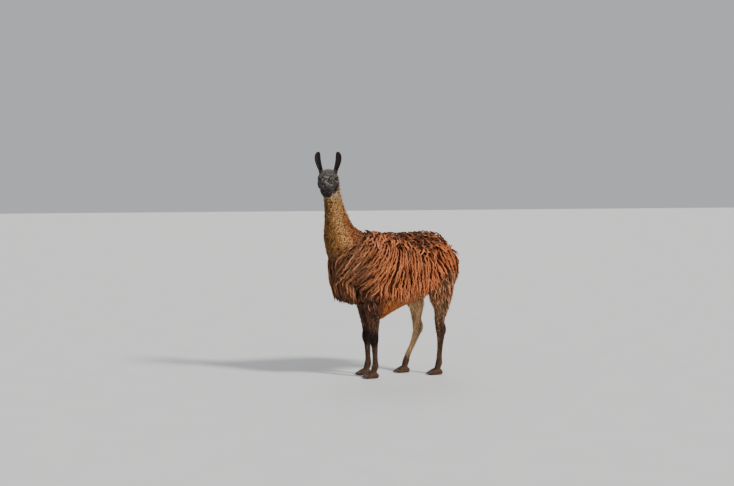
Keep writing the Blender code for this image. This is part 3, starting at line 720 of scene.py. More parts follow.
def neck_colour(points):
    _, y, z = points.T
    middle = np.interp(z, [1.06, 1.165, 1.27, 1.385, 1.64], [-0.375, -0.437, -0.474, -0.500, -0.540])
    colour = mixed(NECK_SIDE, NECK_FRONT, 1 - ramp(y - middle, -0.075, -0.005))
    colour = mixed(colour, NECK_REAR, ramp(y - middle, 0.00, 0.07) * (1 - ramp(z, 1.25, 1.42)))
    colour = mixed(colour, THROAT, 0.85 * ramp(z, 1.44, 1.53) * ramp(-in_head(points)[:, 1], -0.050, -0.015))
    return mixed(fleece_colour(points), colour, ramp(z + 0.5 * (-0.36 - y), 1.06, 1.17))


def leg_colour(points):
    x, y, z = points.T
    fore = 1 - ramp(y, -0.02, 0.06)
    upper = mixed(mixed(THIGH, THIGH_LOW, 1 - ramp(z, 0.55, 0.72)), LEG_UPPER, fore)
    lower = mixed(LEG_LOWER, KNEE, fore * ramp(z, 0.24, 0.28) * (1 - ramp(z, 0.36, 0.42)))
    colour = mixed(lower, upper, ramp(z, 0.40, 0.60))
    # Painted sunlight: the far hind leg takes the pale colour from its fetlock up.
    far = (1 - fore) * (1 - ramp(x, -0.05, 0.0))
    return mixed(colour, FAR_HIND_PAINTED_SUN, far * ramp(z, 0.10, 0.24))


def ear_inside(local):
    """How much of each point, in the head's frame, lies in the cup of an ear."""
    share = np.zeros((len(local), 1))
    for side, _ in SIDES:
        own = moved(local, ear_place(side).inverted())
        t = own[:, 2] / EAR_LENGTH
        line = ear_at(side, t, np.full(len(t), 0.0), 1.0)
        gap = np.hypot(own[:, 0] - line[:, 0], (own[:, 1] - line[:, 1]) / 0.62)
        inside = 1 - ramp(gap - ear_width(t), -0.0024, -0.0012)
        share = np.maximum(share, inside * (own[:, 0] * side > -0.03)[:, None])
    return share


def to_eye(local):
    """How far each point, in the head's frame, is from the middle of the nearer eye."""
    off = np.abs(local[:, 0]) - EYE_ACROSS, -local[:, 1] - EYE_AHEAD, local[:, 2] - EYE_UP
    return np.linalg.norm(np.stack(off, 1), axis=1)


def head_colour(points):
    """Dark face, greyer on the forehead, the bridge and round the eyes as grey hair with painted light,
    painted shade under the jaw, and a pale patch behind the jaw.
    """
    local = in_head(points)
    across, ahead, height = np.abs(local[:, 0]), -local[:, 1], local[:, 2]
    # Grey on the forehead and the bridge: grey hair and partly painted light from above.
    forehead = ramp(height, 0.010, 0.045) * (1 - ramp(across, 0.034, 0.060)) * (1 - ramp(ahead, 0.15, 0.19))
    bridge = (1 - ramp(across, 0.014, 0.030)) * ramp(height, -0.01, 0.02) * ramp(ahead, 0.17, 0.20)
    grey = np.maximum(forehead, 0.4 * bridge) * (0.35 + 0.9 * patches(local, 32.0, 3))
    colour = mixed(mixed(FACE, FACE_GREY_PAINTED_LIGHT, grey), MUZZLE, ramp(ahead, 0.235, 0.265))
    specks = patches(local, 62.0, 9)[:, 0]
    front = ramp(ahead, 0.10, 0.14) * (1 - ramp(ahead, 0.24, 0.29)) * (1 - ramp(across, 0.035, 0.060))
    colour = mixed(colour, FACE_PALE, 0.65 * front * ramp(specks, 0.53, 0.64) * ramp(height, -0.06, -0.02))
    colour = mixed(colour, FACE_DARK, 0.8 * front * (1 - ramp(specks, 0.38, 0.50)))
    # Painted shade under the jaw and the chin.
    colour = mixed(colour, FACE_DARK, (1 - ramp(height, -0.060, -0.015)) * ramp(ahead, 0.05, 0.12))
    rim = to_eye(local)
    # A lighter ring round each eye, grey hair and partly painted light, paler below the eye, then its dark
    # lid edge.
    below_eye = 0.45 * (1 - ramp(height, EYE_UP - 0.012, EYE_UP))
    colour = mixed(colour, mixed(FACE_GREY_PAINTED_LIGHT, FACE_PALE, below_eye), 0.8 * (1 - ramp(rim, 0.028, 0.040)))
    colour = mixed(colour, FACE_DARK, 1 - ramp(rim, 0.0225, 0.0250))
    colour = mixed(colour, THROAT, (1 - ramp(ahead, 0.040, 0.072)) * (1 - ramp(height, -0.015, 0.022)))
    ears = ramp(height, 0.066, 0.085) * (1 - ramp(ahead, 0.045, 0.060))
    return mixed(colour, mixed(EAR, EAR_INSIDE, ear_inside(local)), ears)


def skin_colour(points):
    """Colours of the skin, from the same markings and painted light and shade as the coat's."""
    _, y, z = points.T
    local = in_head(points)
    face = ramp(0.6 * local[:, 2] - local[:, 1], -0.020, 0.010) * ramp(local[:, 2], -0.115, -0.095)
    head = np.maximum(face, ramp(local[:, 2], 0.055, 0.065)) * ramp(z, 1.38, 1.42)
    trunk = mixed(leg_colour(points), fleece_colour(points), ramp(z - np.interp(y, HEM_Y, HEM), -0.03, 0.05))
    body = mixed(trunk, neck_colour(points), ramp(z, 1.00, 1.10) * (1 - ramp(y, -0.34, -0.26)))
    return mixed(body, head_colour(points), head)


# Locks and tufts: where they grow, the paths that they follow, and their meshes


class Roots:
    """Where tufts grow: points on the skin with their normals, and their places on the bake map."""

    def __init__(self, points, ups, places):
        self.points, self.ups, self.places = points, ups, places
        self.x, self.y, self.z = points.T
        self.count = len(points)

    def where(self, kept):
        return Roots(self.points[kept], self.ups[kept], self.places[kept])

    def with_more(self, other):
        pairs = (self.points, other.points), (self.ups, other.ups), (self.places, other.places)
        return Roots(*(np.concatenate(pair) for pair in pairs))

    def any_of(self, low, high):
        """A random number from low to high for each root."""
        return rng.uniform(low, high, self.count)

    def about_zero(self, spread):
        return rng.normal(0, spread, self.count)


def projected(tree, points):
    found, normals = np.empty_like(points), np.empty_like(points)
    for i, point in enumerate(points):
        found[i], normals[i], _, _ = tree.find_nearest(Vector(point))
    return found, normals


def settled(tube, tree, spacing, span=(0.0, 1.0), reach=0.03):
    """Roots on the skin under a tube, within reach of the tube."""
    along, angle = tube.scatter(spacing, span)
    wanted = tube.at(along, angle)
    points, normals = projected(tree, wanted)
    places = np.stack([0.02 + 0.96 * along, 0.02 + 0.96 * angle / (2 * math.pi)], 1)
    return Roots(points, normals, places).where(np.linalg.norm(points - wanted, axis=1) < reach)


def spread_over(skin, spacing, wanted):
    """Random points on the skin, with their normals, where wanted() is true of them in the head's frame."""
    mesh = skin.data
    mesh.calc_loop_triangles()
    corners = np.empty(len(mesh.loop_triangles) * 3, np.int64)
    mesh.loop_triangles.foreach_get("vertices", corners)
    triangles = points_of(skin)[corners].reshape(-1, 3, 3)
    triangles = triangles[triangles[:, 0, 2] > 1.40]
    across = np.cross(triangles[:, 1] - triangles[:, 0], triangles[:, 2] - triangles[:, 0])
    areas = np.linalg.norm(across, axis=1) / 2
    chosen = rng.choice(len(areas), int(areas.sum() / spacing**2), p=areas / areas.sum())
    first, second = rng.uniform(0, 1, (2, len(chosen), 1))
    over = first + second > 1
    first, second = np.where(over, 1 - first, first), np.where(over, 1 - second, second)
    corner = triangles[chosen]
    points = corner[:, 0] + first * (corner[:, 1] - corner[:, 0]) + second * (corner[:, 2] - corner[:, 0])
    kept = wanted(in_head(points))
    return points[kept], unit(across[chosen])[kept]


def along_skin(ways, normals):
    return unit(ways - normals * (ways * normals).sum(-1, keepdims=True))


def down(points, normals):
    return along_skin(np.tile([0.0, 0.0, -1.0], (len(points), 1)), normals)


SWEEP_Y = [-0.50, -0.38, -0.25, -0.12, 0.0, 0.12, 0.30, 0.42]
SWEEP = [-0.60, -1.15, -1.10, -0.60, -0.15, 0.02, 0.28, 0.65]  # tangent of the lean from the vertical


def fall(points, normals):
    """The way the fleece lies: down, swept forward over the shoulder and back over the rump."""
    x, y, z = points.T
    lean = np.interp(y, SWEEP_Y, SWEEP) * np.clip((z - 0.45) / 0.35, 0.25, 1)
    aside = 1.3 * np.clip(normals[:, 2], 0, 1) * np.sign(x + 1e-6)
    return along_skin(np.stack([aside, lean, -np.ones_like(x)], 1), normals)


def partings(points):
    """Bands that run with the lie of the fleece: 1 along the ridges of wool, 0 in the partings between."""
    y, z = points[:, 1].copy(), points[:, 2]
    step = (1.12 - z) / 16
    for _ in range(16):
        y -= np.interp(y, SWEEP_Y, SWEEP) * step
    y *= np.where(y < 0, 1.5, 1.0)  # closer at the withers, as the partings fan out over the shoulder
    wander = 5 * patches(points, 3.0, 12)[:, 0] + 0.5 * np.sign(points[:, 0])
    return 0.5 + 0.5 * np.sin(2 * math.pi * y / 0.0195 + wander)


def followed(tree, roots, lengths, lifts, field, stations, rise=0.25, swirl=0.0, curl=0.0):
    """Paths and their outward ways: along the skin, lifted off it, and hanging free under the belly."""
    here, up = roots.points.copy(), roots.ups.copy()
    paths, facings = [], []
    for k in range(stations):
        t = k / (stations - 1)
        height = lifts * min(1, t / rise) ** 0.8 * (1 - 0.30 * t**3) - (0.006 if k == 0 else 0)
        paths.append(here + up * height[:, None])
        facings.append(up.copy())
        hangs = up[:, 2] < -0.25
        ways = field(here, up)
        turn = np.broadcast_to(swirl * math.sin(math.pi * 1.3 * t) + curl * t, roots.count)[:, None]
        ways = ways * np.cos(turn) + np.cross(up, ways) * np.sin(turn)
        drift = np.interp(here[:, 1], [-0.50, -0.30, 0.0, 0.40], [0.20, 0.0, 0.0, 0.12])
        free = unit(np.stack([up[:, 0] * 0.12, drift, -np.ones(len(here))], 1))
        ways = unit(np.where(hangs[:, None], free, ways))
        here = here + ways * (lengths / (stations - 1))[:, None]
        lying = np.flatnonzero(~hangs)
        here[lying], normals = projected(tree, here[lying])
        up[lying] = unit(up[lying] + normals * 1.4)
    return np.stack(paths, 1), np.stack(facings, 1)


def stroked(roots, ways, lengths, lifts, stations, curl=0.0):
    """Short paths and their outward ways: they rise from the roots and lean over, with no skin to follow."""
    t = np.linspace(0, 1, stations)[None, :, None]
    ups = roots.ups
    length, lift = lengths[:, None, None], lifts[:, None, None]
    bend = np.broadcast_to(curl, roots.count)[:, None, None] * np.sin(math.pi * t) * length
    rise = np.sin(math.pi * 0.62 * t) * lift - 0.0012 * (t == 0)
    paths = roots.points[:, None] + ways[:, None] * t * length + ups[:, None] * rise
    paths = paths + np.cross(ups, ways)[:, None] * bend
    return paths, np.repeat(ups[:, None], stations, 1)


def plied(paths, facings, widths, strands, pitch, wave):
    """Each path becomes strands that twist about it and share its slow wave, like a loose rope.

    Gives the strands' paths and facings, the path that each belongs to, and its painted light and shade
    along its way: a strand is painted brightest where it passes over the top of its rope and darkest where
    it passes under.
    """
    count, stations, _ = paths.shape
    across = unit(np.cross(facings, unit(np.gradient(paths, axis=1))))
    steps = np.linalg.norm(np.diff(paths, axis=1), axis=2)
    run = np.concatenate([np.zeros((count, 1)), np.cumsum(steps, 1)], 1)
    t = np.linspace(0, 1, stations)[None]
    phase = 14 * patches(paths[:, 0], 5.0, 2) + rng.uniform(-0.6, 0.6, (count, 1))
    period = rng.uniform(0.9, 1.1, (count, 1)) * wave[1]
    sway = wave[0] * np.sin(2 * math.pi * run / period + phase) * np.minimum(1, t * 3)
    paths = paths + across * sway[:, :, None]
    spread = widths[:, None] * (0.28 + 0.10 * np.sin(math.pi * t)) * (1 - 0.50 * t**2)
    hand = np.sign(rng.uniform(-1, 1, (count, 1)))
    made = []
    for s in range(strands):
        reach = spread * (1.0 if s % 2 else 0.65)
        turn = hand * 2 * math.pi * run / pitch + phase + 2 * math.pi * s / strands
        side = across * (np.cos(turn) * reach)[:, :, None]
        lift = facings * (np.sin(turn) * reach * 0.8)[:, :, None]
        fray = rng.normal(0, 0.10, (count, 1)) * widths[:, None] * t**2 * 2.5
        path = paths + side + lift + across * fray[:, :, None]
        facing = unit(facings + across * (np.cos(turn) * 0.8)[:, :, None])
        # Painted light and shade: brighter over the top of the rope, darker under it.
        made.append((path, facing, np.arange(count), 0.76 + 0.60 * np.sin(turn)))
    return [np.concatenate(parts) for parts in zip(*made)]


TAPER = ([0, 0.2, 0.5, 0.8, 1], [0.55, 1.0, 1.0, 0.70, 0.25])
# Painted shade at each tuft's root, under the coat, rising to a painted highlight at its tip.
ROOT_SHADE, TIP_SHADE = 0.30, 1.15


def tuft_arrays(paths, facings, widths, flatness):
    """Vertices of three-sided tapered tufts: rings along each path, and a point at its tip."""
    count, stations, _ = paths.shape
    ways = unit(np.gradient(paths, axis=1))
    across = unit(np.cross(facings, ways))[:, :-1]
    up = np.cross(ways[:, :-1], across)
    t = np.linspace(0, 1, stations)[:-1]
    wide = (widths[:, None] * np.interp(t, *TAPER)[None])[:, :, None]
    middle, aside = paths[:, :-1], across * wide / 2
    rings = np.stack([middle + aside, middle + up * wide * flatness, middle - aside], 2)
    return np.concatenate([rings.reshape(count, -1, 3), paths[:, -1:]], 1)


def tuft_faces(rings):
    faces = [(2, 1, 0)]
    for low in range(0, 3 * (rings - 1), 3):
        high = low + 3
        for k in range(3):
            nxt = (k + 1) % 3
            faces += [(low + k, low + nxt, high + nxt), (low + k, high + nxt, high + k)]
    last = 3 * (rings - 1)
    faces += [(last + k, last + (k + 1) % 3, 3 * rings) for k in range(3)]
    return np.array(faces)


def softened(colours, most):
    """Keeps the brightest channel of each colour below most, at the same hue."""
    return colours * np.minimum(1, most / colours.max(axis=-1, keepdims=True))


def varied(colours, spread, warm=0.10):
    """Each tuft's own brightness and a slight shift of hue."""
    bright = np.exp(spread * np.clip(rng.normal(0, 1, (len(colours), 1)), -2, 2))
    shift = 1 + warm * np.clip(rng.normal(0, 1, (len(colours), 1)), -2, 2) * np.array([[0.25, -0.1, -0.9]])
    return softened(np.clip(colours * bright * shift, 0.002, None), 0.72)


def depth_shade(lifts):
    """Painted light and shade: locks that lie low in the fleece, shaded by those on top of it, are darker,
    and the highest are brighter than their own colour.
    """
    share = (lifts - lifts.min()) / (lifts.max() - lifts.min())
    return (0.10 + 1.28 * share**1.2)[:, None]


def coat(name, lay, widths, colours, places, finish, flatness=0.28, painted_rope_light=None, root=ROOT_SHADE):
    """The coat pieces of one region, each with its tufts' colours, bake map and strand map."""
    paths, facings = lay
    count, stations, _ = paths.shape
    rings = stations - 1
    template = tuft_faces(rings)
    pieces = max(1, math.ceil(count / (PIECE_TRIANGLES // len(template))))
    points = tuft_arrays(paths, facings, widths, flatness)
    along = np.concatenate([np.repeat(np.linspace(0, 1, stations)[:-1], 3), [1.0]])
    side = np.concatenate([np.tile([0.0, 0.5, 1.0], rings), [0.5]])
    # Painted light and shade along each tuft, times its rope's painted light and shade.
    shade = np.tile(root + (TIP_SHADE - root) * np.minimum(1, along * 1.5) ** 0.8, (count, 1))
    if painted_rope_light is not None:
        shade *= np.concatenate([np.repeat(painted_rope_light[:, :-1], 3, axis=1), painted_rope_light[:, -1:]], 1)
    lengths = np.linalg.norm(np.diff(paths, axis=1), axis=2).sum(1)
    chance = rng.uniform(0, 40, count)
    for index, chosen in enumerate(np.array_split(np.arange(count), pieces)):
        tufts, size = len(chosen), points.shape[1]
        corners = (template[None] + np.arange(tufts)[:, None, None] * size).reshape(-1)
        mesh = bpy.data.meshes.new(name)
        mesh.vertices.add(tufts * size)
        mesh.vertices.foreach_set("co", (points[chosen].reshape(-1, 3) + np.array(SHIFT)).ravel())
        mesh.loops.add(len(corners))
        mesh.loops.foreach_set("vertex_index", corners)
        mesh.polygons.add(len(corners) // 3)
        mesh.polygons.foreach_set("loop_start", np.arange(0, len(corners), 3))
        mesh.update(calc_edges=True)
        mesh.shade_smooth()
        patch = np.stack([side - 0.5, along - 0.5], 1)[None] * PATCH + places[chosen][:, None]
        strand = np.stack([side + chance[chosen][:, None], along * lengths[chosen][:, None]], 2)
        for layer, values in (("OFBake", patch), ("Strand", strand)):
            uv = mesh.uv_layers.new(name=layer)
            uv.data.foreach_set("uv", values.reshape(-1, 2)[corners].ravel())
        # Painted highlights: where the painted light passes 1, the colour gets brighter and paler.
        lit = shade[chosen][:, :, None]
        bright = np.maximum(lit - 1, 0)
        tint = softened(colours[chosen][:, None] * (lit + 0.10 * bright), 0.90) + 0.03 * bright
        paint(mesh, np.clip(tint.reshape(-1, 3), 0, 1))
        mesh.materials.append(finish)
        obj = new_object(name if pieces == 1 else f"{name}_{index + 1}", mesh)
        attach(obj, "root")


def paint(mesh, colours):
    attribute = mesh.color_attributes.new("Coat", "FLOAT_COLOR", "POINT")
    attribute.data.foreach_set("color", np.hstack([colours, np.ones((len(colours), 1))]).ravel())


def roped(name, lay, widths, colours, places, finish, strands, pitch, wave):
    """A region of plied ropes, put in order along the body so that its pieces are zones of it."""
    tufts, facings, owner, painted_rope_light = plied(*lay, widths, strands, pitch, wave)
    shades = varied(colours[owner], 0.12, 0.05)
    order = np.argsort(places[owner][:, 0], kind="stable")
    own = owner[order]
    lay = tufts[order], facings[order]
    coat(name, lay, widths[own] * 0.42, shades[order], places[own], finish, 0.42, painted_rope_light[order])


# Materials


def new_finish(name, **sockets):
    """A material with its node tree and its shader, and values on the shader's own sockets."""
    made = bpy.data.materials.new(name)
    made.use_nodes = True
    shader = made.node_tree.nodes["Principled BSDF"]
    for socket, value in sockets.items():
        shader.inputs[socket.replace("_", " ")].default_value = value
    return made, made.node_tree, shader


def linked(tree, kind, inputs=(), **settings):
    """A node with its settings, and its inputs set to values or linked to other nodes' outputs."""
    node = tree.nodes.new(kind)
    for key, value in settings.items():
        setattr(node, key, value)
    for key, value in dict(inputs).items():
        if isinstance(value, bpy.types.NodeSocket):
            tree.links.new(value, node.inputs[key])
        else:
            node.inputs[key].default_value = value
    return node


def noise_over(tree, vector, scale, detail, stretch=(1, 1, 1)):
    scaled = linked(tree, "ShaderNodeMapping", {"Vector": vector, "Scale": stretch})
    inputs = {"Vector": scaled.outputs[0], "Scale": scale, "Detail": detail}
    return linked(tree, "ShaderNodeTexNoise", inputs)


def relief(tree, shader, height, strength, distance, **under):
    inputs = {"Height": height.outputs[0], "Strength": strength, "Distance": distance, **under}
    bump = linked(tree, "ShaderNodeBump", inputs)
    tree.links.new(bump.outputs[0], shader.inputs["Normal"])
    return bump


def broken_colour(tree, shader, fine, contrast):
    """The colour of the coat, made lighter and darker by a fine noise."""
    colour = linked(tree, "ShaderNodeAttribute", attribute_name="Coat")
    limits = {"From Min": 0.3, "From Max": 0.7, "To Min": contrast[0], "To Max": contrast[1]}
    tone = linked(tree, "ShaderNodeMapRange", {"Value": fine.outputs[0], **limits})
    inputs = {0: colour.outputs["Color"], 1: tone.outputs[0]}
    mix = linked(tree, "ShaderNodeVectorMath", inputs, operation="MULTIPLY")
    tree.links.new(mix.outputs[0], shader.inputs["Base Color"])


def hair_finish(name, roughness, sheen, lines, contrast, bump=0.5):
    """Wool or hair: each tuft's colour, broken by fine lines that run along its strand."""
    made, tree, shader = new_finish(
        name,
        Roughness=roughness,
        Sheen_Weight=sheen,
        Sheen_Roughness=0.45,
        Sheen_Tint=(1.0, 0.62, 0.38, 1),
        Specular_IOR_Level=0.16,
    )
    strand = linked(tree, "ShaderNodeUVMap", uv_map="Strand")
    fine = noise_over(tree, strand.outputs["UV"], 1.0, 3.0, (*lines, 1))
    broken_colour(tree, shader, fine, contrast)
    relief(tree, shader, fine, bump, 0.002)
    return made


def skin_finish():
    """Skin with its short flat hair as bump, in the colours of the coat."""
    made, tree, shader = new_finish("skin", Roughness=0.62, Sheen_Weight=0.03, Specular_IOR_Level=0.2)
    place = linked(tree, "ShaderNodeTexCoord").outputs["Object"]
    fine = noise_over(tree, place, 900.0, 4.0, (1, 1, 0.35))
    broken_colour(tree, shader, fine, (0.7, 1.25))
    coarse = relief(tree, shader, noise_over(tree, place, 60.0, 5.0), 0.35, 0.002)
    relief(tree, shader, fine, 0.5, 0.0008, Normal=coarse.outputs[0])
    return made


def set_stops(node, *stops):
    """Puts (position, colour) pairs on a colour ramp that starts with two."""
    elements = node.color_ramp.elements
    for i, (position, colour) in enumerate(stops):
        stop = elements[i] if i < 2 else elements.new(position)
        stop.position, stop.color = position, (*colour, 1)


def eye_finish():
    """A wet dark eye: brown iris, wide dark pupil and a bright coat of tears."""
    made, tree, shader = new_finish(
        "eye", Roughness=0.20, Specular_IOR_Level=0.2, Coat_Weight=0.45, Coat_Roughness=0.05
    )
    place = linked(tree, "ShaderNodeAttribute", attribute_name="Gaze")
    grain = noise_over(tree, place.outputs["Vector"], 9.0, 4.0)
    rings = linked(tree, "ShaderNodeValToRGB", {"Fac": place.outputs["Fac"]})
    pupil, iris = (0.003, 0.003, 0.004), (0.030, 0.014, 0.007)
    iris_rim, white = (0.045, 0.022, 0.010), (0.012, 0.008, 0.006)
    set_stops(rings, (0.30, pupil), (0.42, iris), (0.80, iris_rim), (0.90, white))
    inputs = {0: rings.outputs[0], 1: grain.outputs[1], 2: (0.002, 0.002, 0.002)}
    mix = linked(tree, "ShaderNodeVectorMath", inputs, operation="MULTIPLY_ADD")
    tree.links.new(mix.outputs[0], shader.inputs["Base Color"])
    return made


def horn_finish():
    made, tree, shader = new_finish("horn", Roughness=0.38)
    place = linked(tree, "ShaderNodeTexCoord").outputs["Object"]
    grain = noise_over(tree, place, 60.0, 5.0, (1, 6, 6))
    tones = linked(tree, "ShaderNodeValToRGB", {"Fac": grain.outputs[0]})
    set_stops(tones, (0.3, (0.018, 0.013, 0.011)), (0.7, (0.085, 0.065, 0.050)))
    tree.links.new(tones.outputs[0], shader.inputs["Base Color"])
    relief(tree, shader, grain, 0.4, 0.001)
    return made


# Eyes and nails


def build_eye(side, name, node, finish):
    """An eyeball with a slight bulge of the cornea, and on each vertex how far it is from the gaze."""
    eye = ball(name, (0, 0, 0), (EYE_RADIUS,) * 3, 64, 48)
    points = points_of(eye)
    gaze = np.array((eye_place(side).to_3x3() @ Vector((side, 0, 0)))[:])
    away = np.arccos(np.clip(points @ gaze / EYE_RADIUS, -1, 1))
    points *= 1 + 0.020 * np.clip(1 - (away / 0.75) ** 2, 0, 1)[:, None]
    stretched = points - gaze * (points @ gaze)[:, None]
    oval = np.hypot(stretched[:, 1] * 0.75, stretched[:, 2] * 1.25) / EYE_RADIUS
    iris = np.hypot(stretched[:, 1], stretched[:, 2]) / EYE_RADIUS
    value = np.where(away < 1.5, np.where(oval < 0.38, oval, np.maximum(0.42, iris)), 1.0)
    attribute = eye.data.attributes.new("Gaze", "FLOAT", "POINT")
    attribute.data.foreach_set("value", value)
    eye.data.vertices.foreach_set("co", points.ravel())
    eye.data.transform(Matrix.Translation(SHIFT) @ HEAD_PLACE @ Matrix.Translation(eye_centre(side)))
    dressed(eye, node, finish)


def dressed(obj, node, finish):
    obj.data.shade_smooth()
    obj.data.materials.append(finish)
    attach(obj, "root")
    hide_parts(node)


def build_nails(finish):
    for leg in LEGS:
        for inner in (1, -1):
            where = "inner" if inner * leg.side < 0 else "outer"
            nail = Tube(nail_sections(leg, inner), (0.004, 0.001)).mesh("horn", 24)
            nail.name = f"horn_{leg.name}_{where}"
            nail.data.transform(Matrix.Translation(SHIFT))
            dressed(nail, f"{leg.name}_nail_{where}", finish)


# The coat, region by region


def off_neck(roots):
    """Leaves out the foot of the neck's rear, where a lock would stand up over the back."""
    return (roots.y > -0.21) | (roots.z < 1.138)


def underwool(tree, wool):
    """Broad locks under the fleece, painted dark as shade, which fill what shows between its ropes."""
    roots = settled(TRUNK_TUBE, tree, spacing=0.024)
    roots = roots.where(over_side_hem(roots.points) > 0.01)
    lengths = np.clip(np.minimum(roots.any_of(0.10, 0.14), over_side_hem(roots.points)), 0.04, None)
    front = 1 - 0.5 * ramp(-roots.y, 0.34, 0.46)[:, 0]
    lay = followed(tree, roots, lengths, roots.any_of(0.018, 0.036) * front, fall, stations=6)
    # Painted shade: the fleece's own colour made very dark.
    colours = varied(fleece_colour(roots.points), 0.20) * [0.13, 0.08, 0.06]
    coat("underwool", lay, roots.any_of(0.024, 0.032), colours, roots.places, wool)


def fleece(tree, wool):
    """Waving plied ropes of wool over the trunk, high on the ridges and low in the partings."""
    roots = settled(TRUNK_TUBE, tree, spacing=0.0180)
    room = over_side_hem(roots.points) + roots.any_of(-0.07, 0.04)
    kept = (roots.ups[:, 2] > -0.35) & (room > 0.03) & off_neck(roots)
    roots, room = roots.where(kept), room[kept]
    lengths = np.clip(np.minimum(roots.any_of(0.12, 0.19), room), 0.045, None)
    front = 1 - 0.52 * ramp(-roots.y, 0.34, 0.46)[:, 0]
    rear = 1 - 0.25 * ramp(roots.y, 0.36, 0.44)[:, 0]
    back = ramp(over_back_edge(roots.points), -0.01, 0.02)[:, 0]
    low = partings(roots.points) + roots.any_of(-0.22, 0.22) < 0.52
    share = np.where(low, roots.any_of(0.36, 0.50), roots.any_of(0.68, 0.92))
    lifts = share * (1 - 0.5 * back) * FLEECE_LIFT * front * rear
    lay = followed(tree, roots, lengths, lifts, fall, stations=11, swirl=roots.about_zero(0.09))
    # Painted shade on the low ropes and painted light on the high ones, times a slow random tone.
    shade = depth_shade(share) * (0.72 + 0.60 * patches(roots.points, 6.0, 8))
    chest = 1 - ramp(roots.y, -0.36, -0.10)
    colours = varied(fleece_colour(lay[0][:, 4]) * shade, 0.22 + 0.28 * chest, 0.14)
    widths = roots.any_of(0.0115, 0.0155)
    roped("fleece", lay, widths, colours, roots.places, wool, strands=4, pitch=0.075, wave=(0.0030, 0.050))


def back_wool(tree, wool):
    """Matted clumps along the back that curl over the tops of the long ropes, darkest at the withers."""
    roots = settled(TRUNK_TUBE, tree, spacing=0.0195)
    edge = np.interp(roots.y, BACK_EDGE_Y, BACK_EDGE) + 0.06 * (patches(roots.points, 9.0, 4)[:, 0] - 0.5)
    kept = (roots.z > edge) & (roots.y > -0.34) & off_neck(roots)
    roots, edge = roots.where(kept), edge[kept]
    low = 1 - ramp(roots.z - edge, 0.01, 0.05)[:, 0]
    lengths = roots.any_of(0.055, 0.095) * (1 + 0.25 * low)
    share = roots.any_of(0.56, 0.80) * (1 + 0.35 * low)
    swirl = 3.2 * (patches(roots.points, 8.0, 6)[:, 0] - 0.5)
    curl = np.sign(roots.any_of(-1, 1)) * roots.any_of(1.2, 3.4) * (1 - 0.6 * low)
    lay = followed(tree, roots, lengths, share * FLEECE_LIFT, fall, 10, rise=0.35, swirl=swirl, curl=curl)
    colours = varied(fleece_colour(roots.points) * depth_shade(share), 0.34, 0.16)
    widths = roots.any_of(0.013, 0.018)
    roped("back_wool", lay, widths, colours, roots.places, wool, strands=4, pitch=0.07, wave=(0.004, 0.045))


def belly_wool(tree, wool):
    """Short smooth bright wool over the belly."""
    roots = settled(BELLY_TUBE, tree, spacing=0.0078, reach=0.012)
    roots = roots.where(roots.z < np.interp(roots.y, SIDE_HEM_Y, SIDE_HEM) + 0.06)
    ways = np.tile([0.0, 0.45, -1.0], (roots.count, 1)) - roots.ups * [0.5, 0, 0]
    ways = along_skin(ways + rng.normal(0, 0.16, (roots.count, 3)), roots.ups)
    lifts = roots.any_of(0.003, 0.010)
    lay = stroked(roots, ways, roots.any_of(0.026, 0.042), lifts, 4, roots.about_zero(0.10))
    colours = varied(fleece_colour(roots.points) * (0.60 + 0.42 * depth_shade(lifts)), 0.22, 0.07)
    coat("belly_wool", lay, roots.any_of(0.0055, 0.0085), colours, roots.places, wool, root=0.70)


def chest_wool(tree, wool):
    """Longer dark wool that hangs under the chest."""
    roots = settled(TRUNK_TUBE, tree, spacing=0.0150)
    roots = roots.where((roots.ups[:, 2] < 0.10) & (roots.y < -0.13))
    lengths = np.clip(over_side_hem(roots.points) + roots.any_of(-0.02, 0.02), 0.025, 0.15)
    lay = followed(tree, roots, lengths, roots.any_of(0.010, 0.026), down, stations=6)
    colours = varied(fleece_colour(roots.points), 0.25) * 0.7
    coat("chest_wool", lay, roots.any_of(0.010, 0.016), colours, roots.places, wool)


def on_nape(local):
    """Where the wool of the neck goes on over the back of the head, up to the ears."""
    ahead, height = -local[:, 1], local[:, 2]
    wanted = (0.6 * height + ahead < 0.004) & (height > -0.035)
    for side, _ in SIDES:
        from_ear = np.hypot(local[:, 0] - side * EAR_ACROSS, ahead - EAR_AHEAD)
        wanted &= ~((height > 0.066) & (from_ear < 0.034))
    return wanted & (height < 0.085)


def neck_wool(skin, tree, wool):
    """Short dense wool in small curls that lie down the neck, longer towards its base."""
    roots = settled(NECK_TUBE, tree, spacing=0.0055, span=(0.10, 0.97), reach=0.020)
    local = in_head(roots.points)
    kept = 0.6 * local[:, 2] - local[:, 1] < 0.004 + roots.any_of(-0.01, 0.01)
    roots = roots.where(kept | (local[:, 2] < -0.088))
    points, ups = spread_over(skin, 0.0052, on_nape)
    turn = np.arctan2(ups[:, 1], ups[:, 0]) / (2 * math.pi) % 1
    places = np.stack([0.80 + 0.9 * (points[:, 2] - 1.55), 0.02 + 0.96 * turn], 1)
    roots = roots.with_more(Roots(points, ups, places))
    ups = roots.ups
    size = np.interp(roots.z, [1.05, 1.20, 1.42, 1.54, 1.66], [1.7, 1.25, 1.00, 1.25, 0.70])
    front = ramp(-ups[:, 1], 0.1, 0.8)[:, 0]
    lengths = roots.any_of(0.024, 0.038) * size
    lifts = roots.any_of(0.30, 1.0) * NECK_LIFT * size * (0.50 - 0.16 * front)
    fallen = down(roots.points, ups + [0, 1e-3, 0])
    ways = np.where(roots.points[:, 2:] > 1.57, fallen, fall(roots.points, ups))
    ways = unit(ways + np.cross(ups, ways) * rng.normal(0, 0.48, (roots.count, 1)))
    lay = stroked(roots, ways, lengths, lifts, 4, roots.about_zero(0.18))
    colours = varied(neck_colour(roots.points) * depth_shade(lifts / size), 0.26, 0.10)
    coat("neck_wool", lay, roots.any_of(0.0042, 0.0064) * size, colours, roots.places, wool)


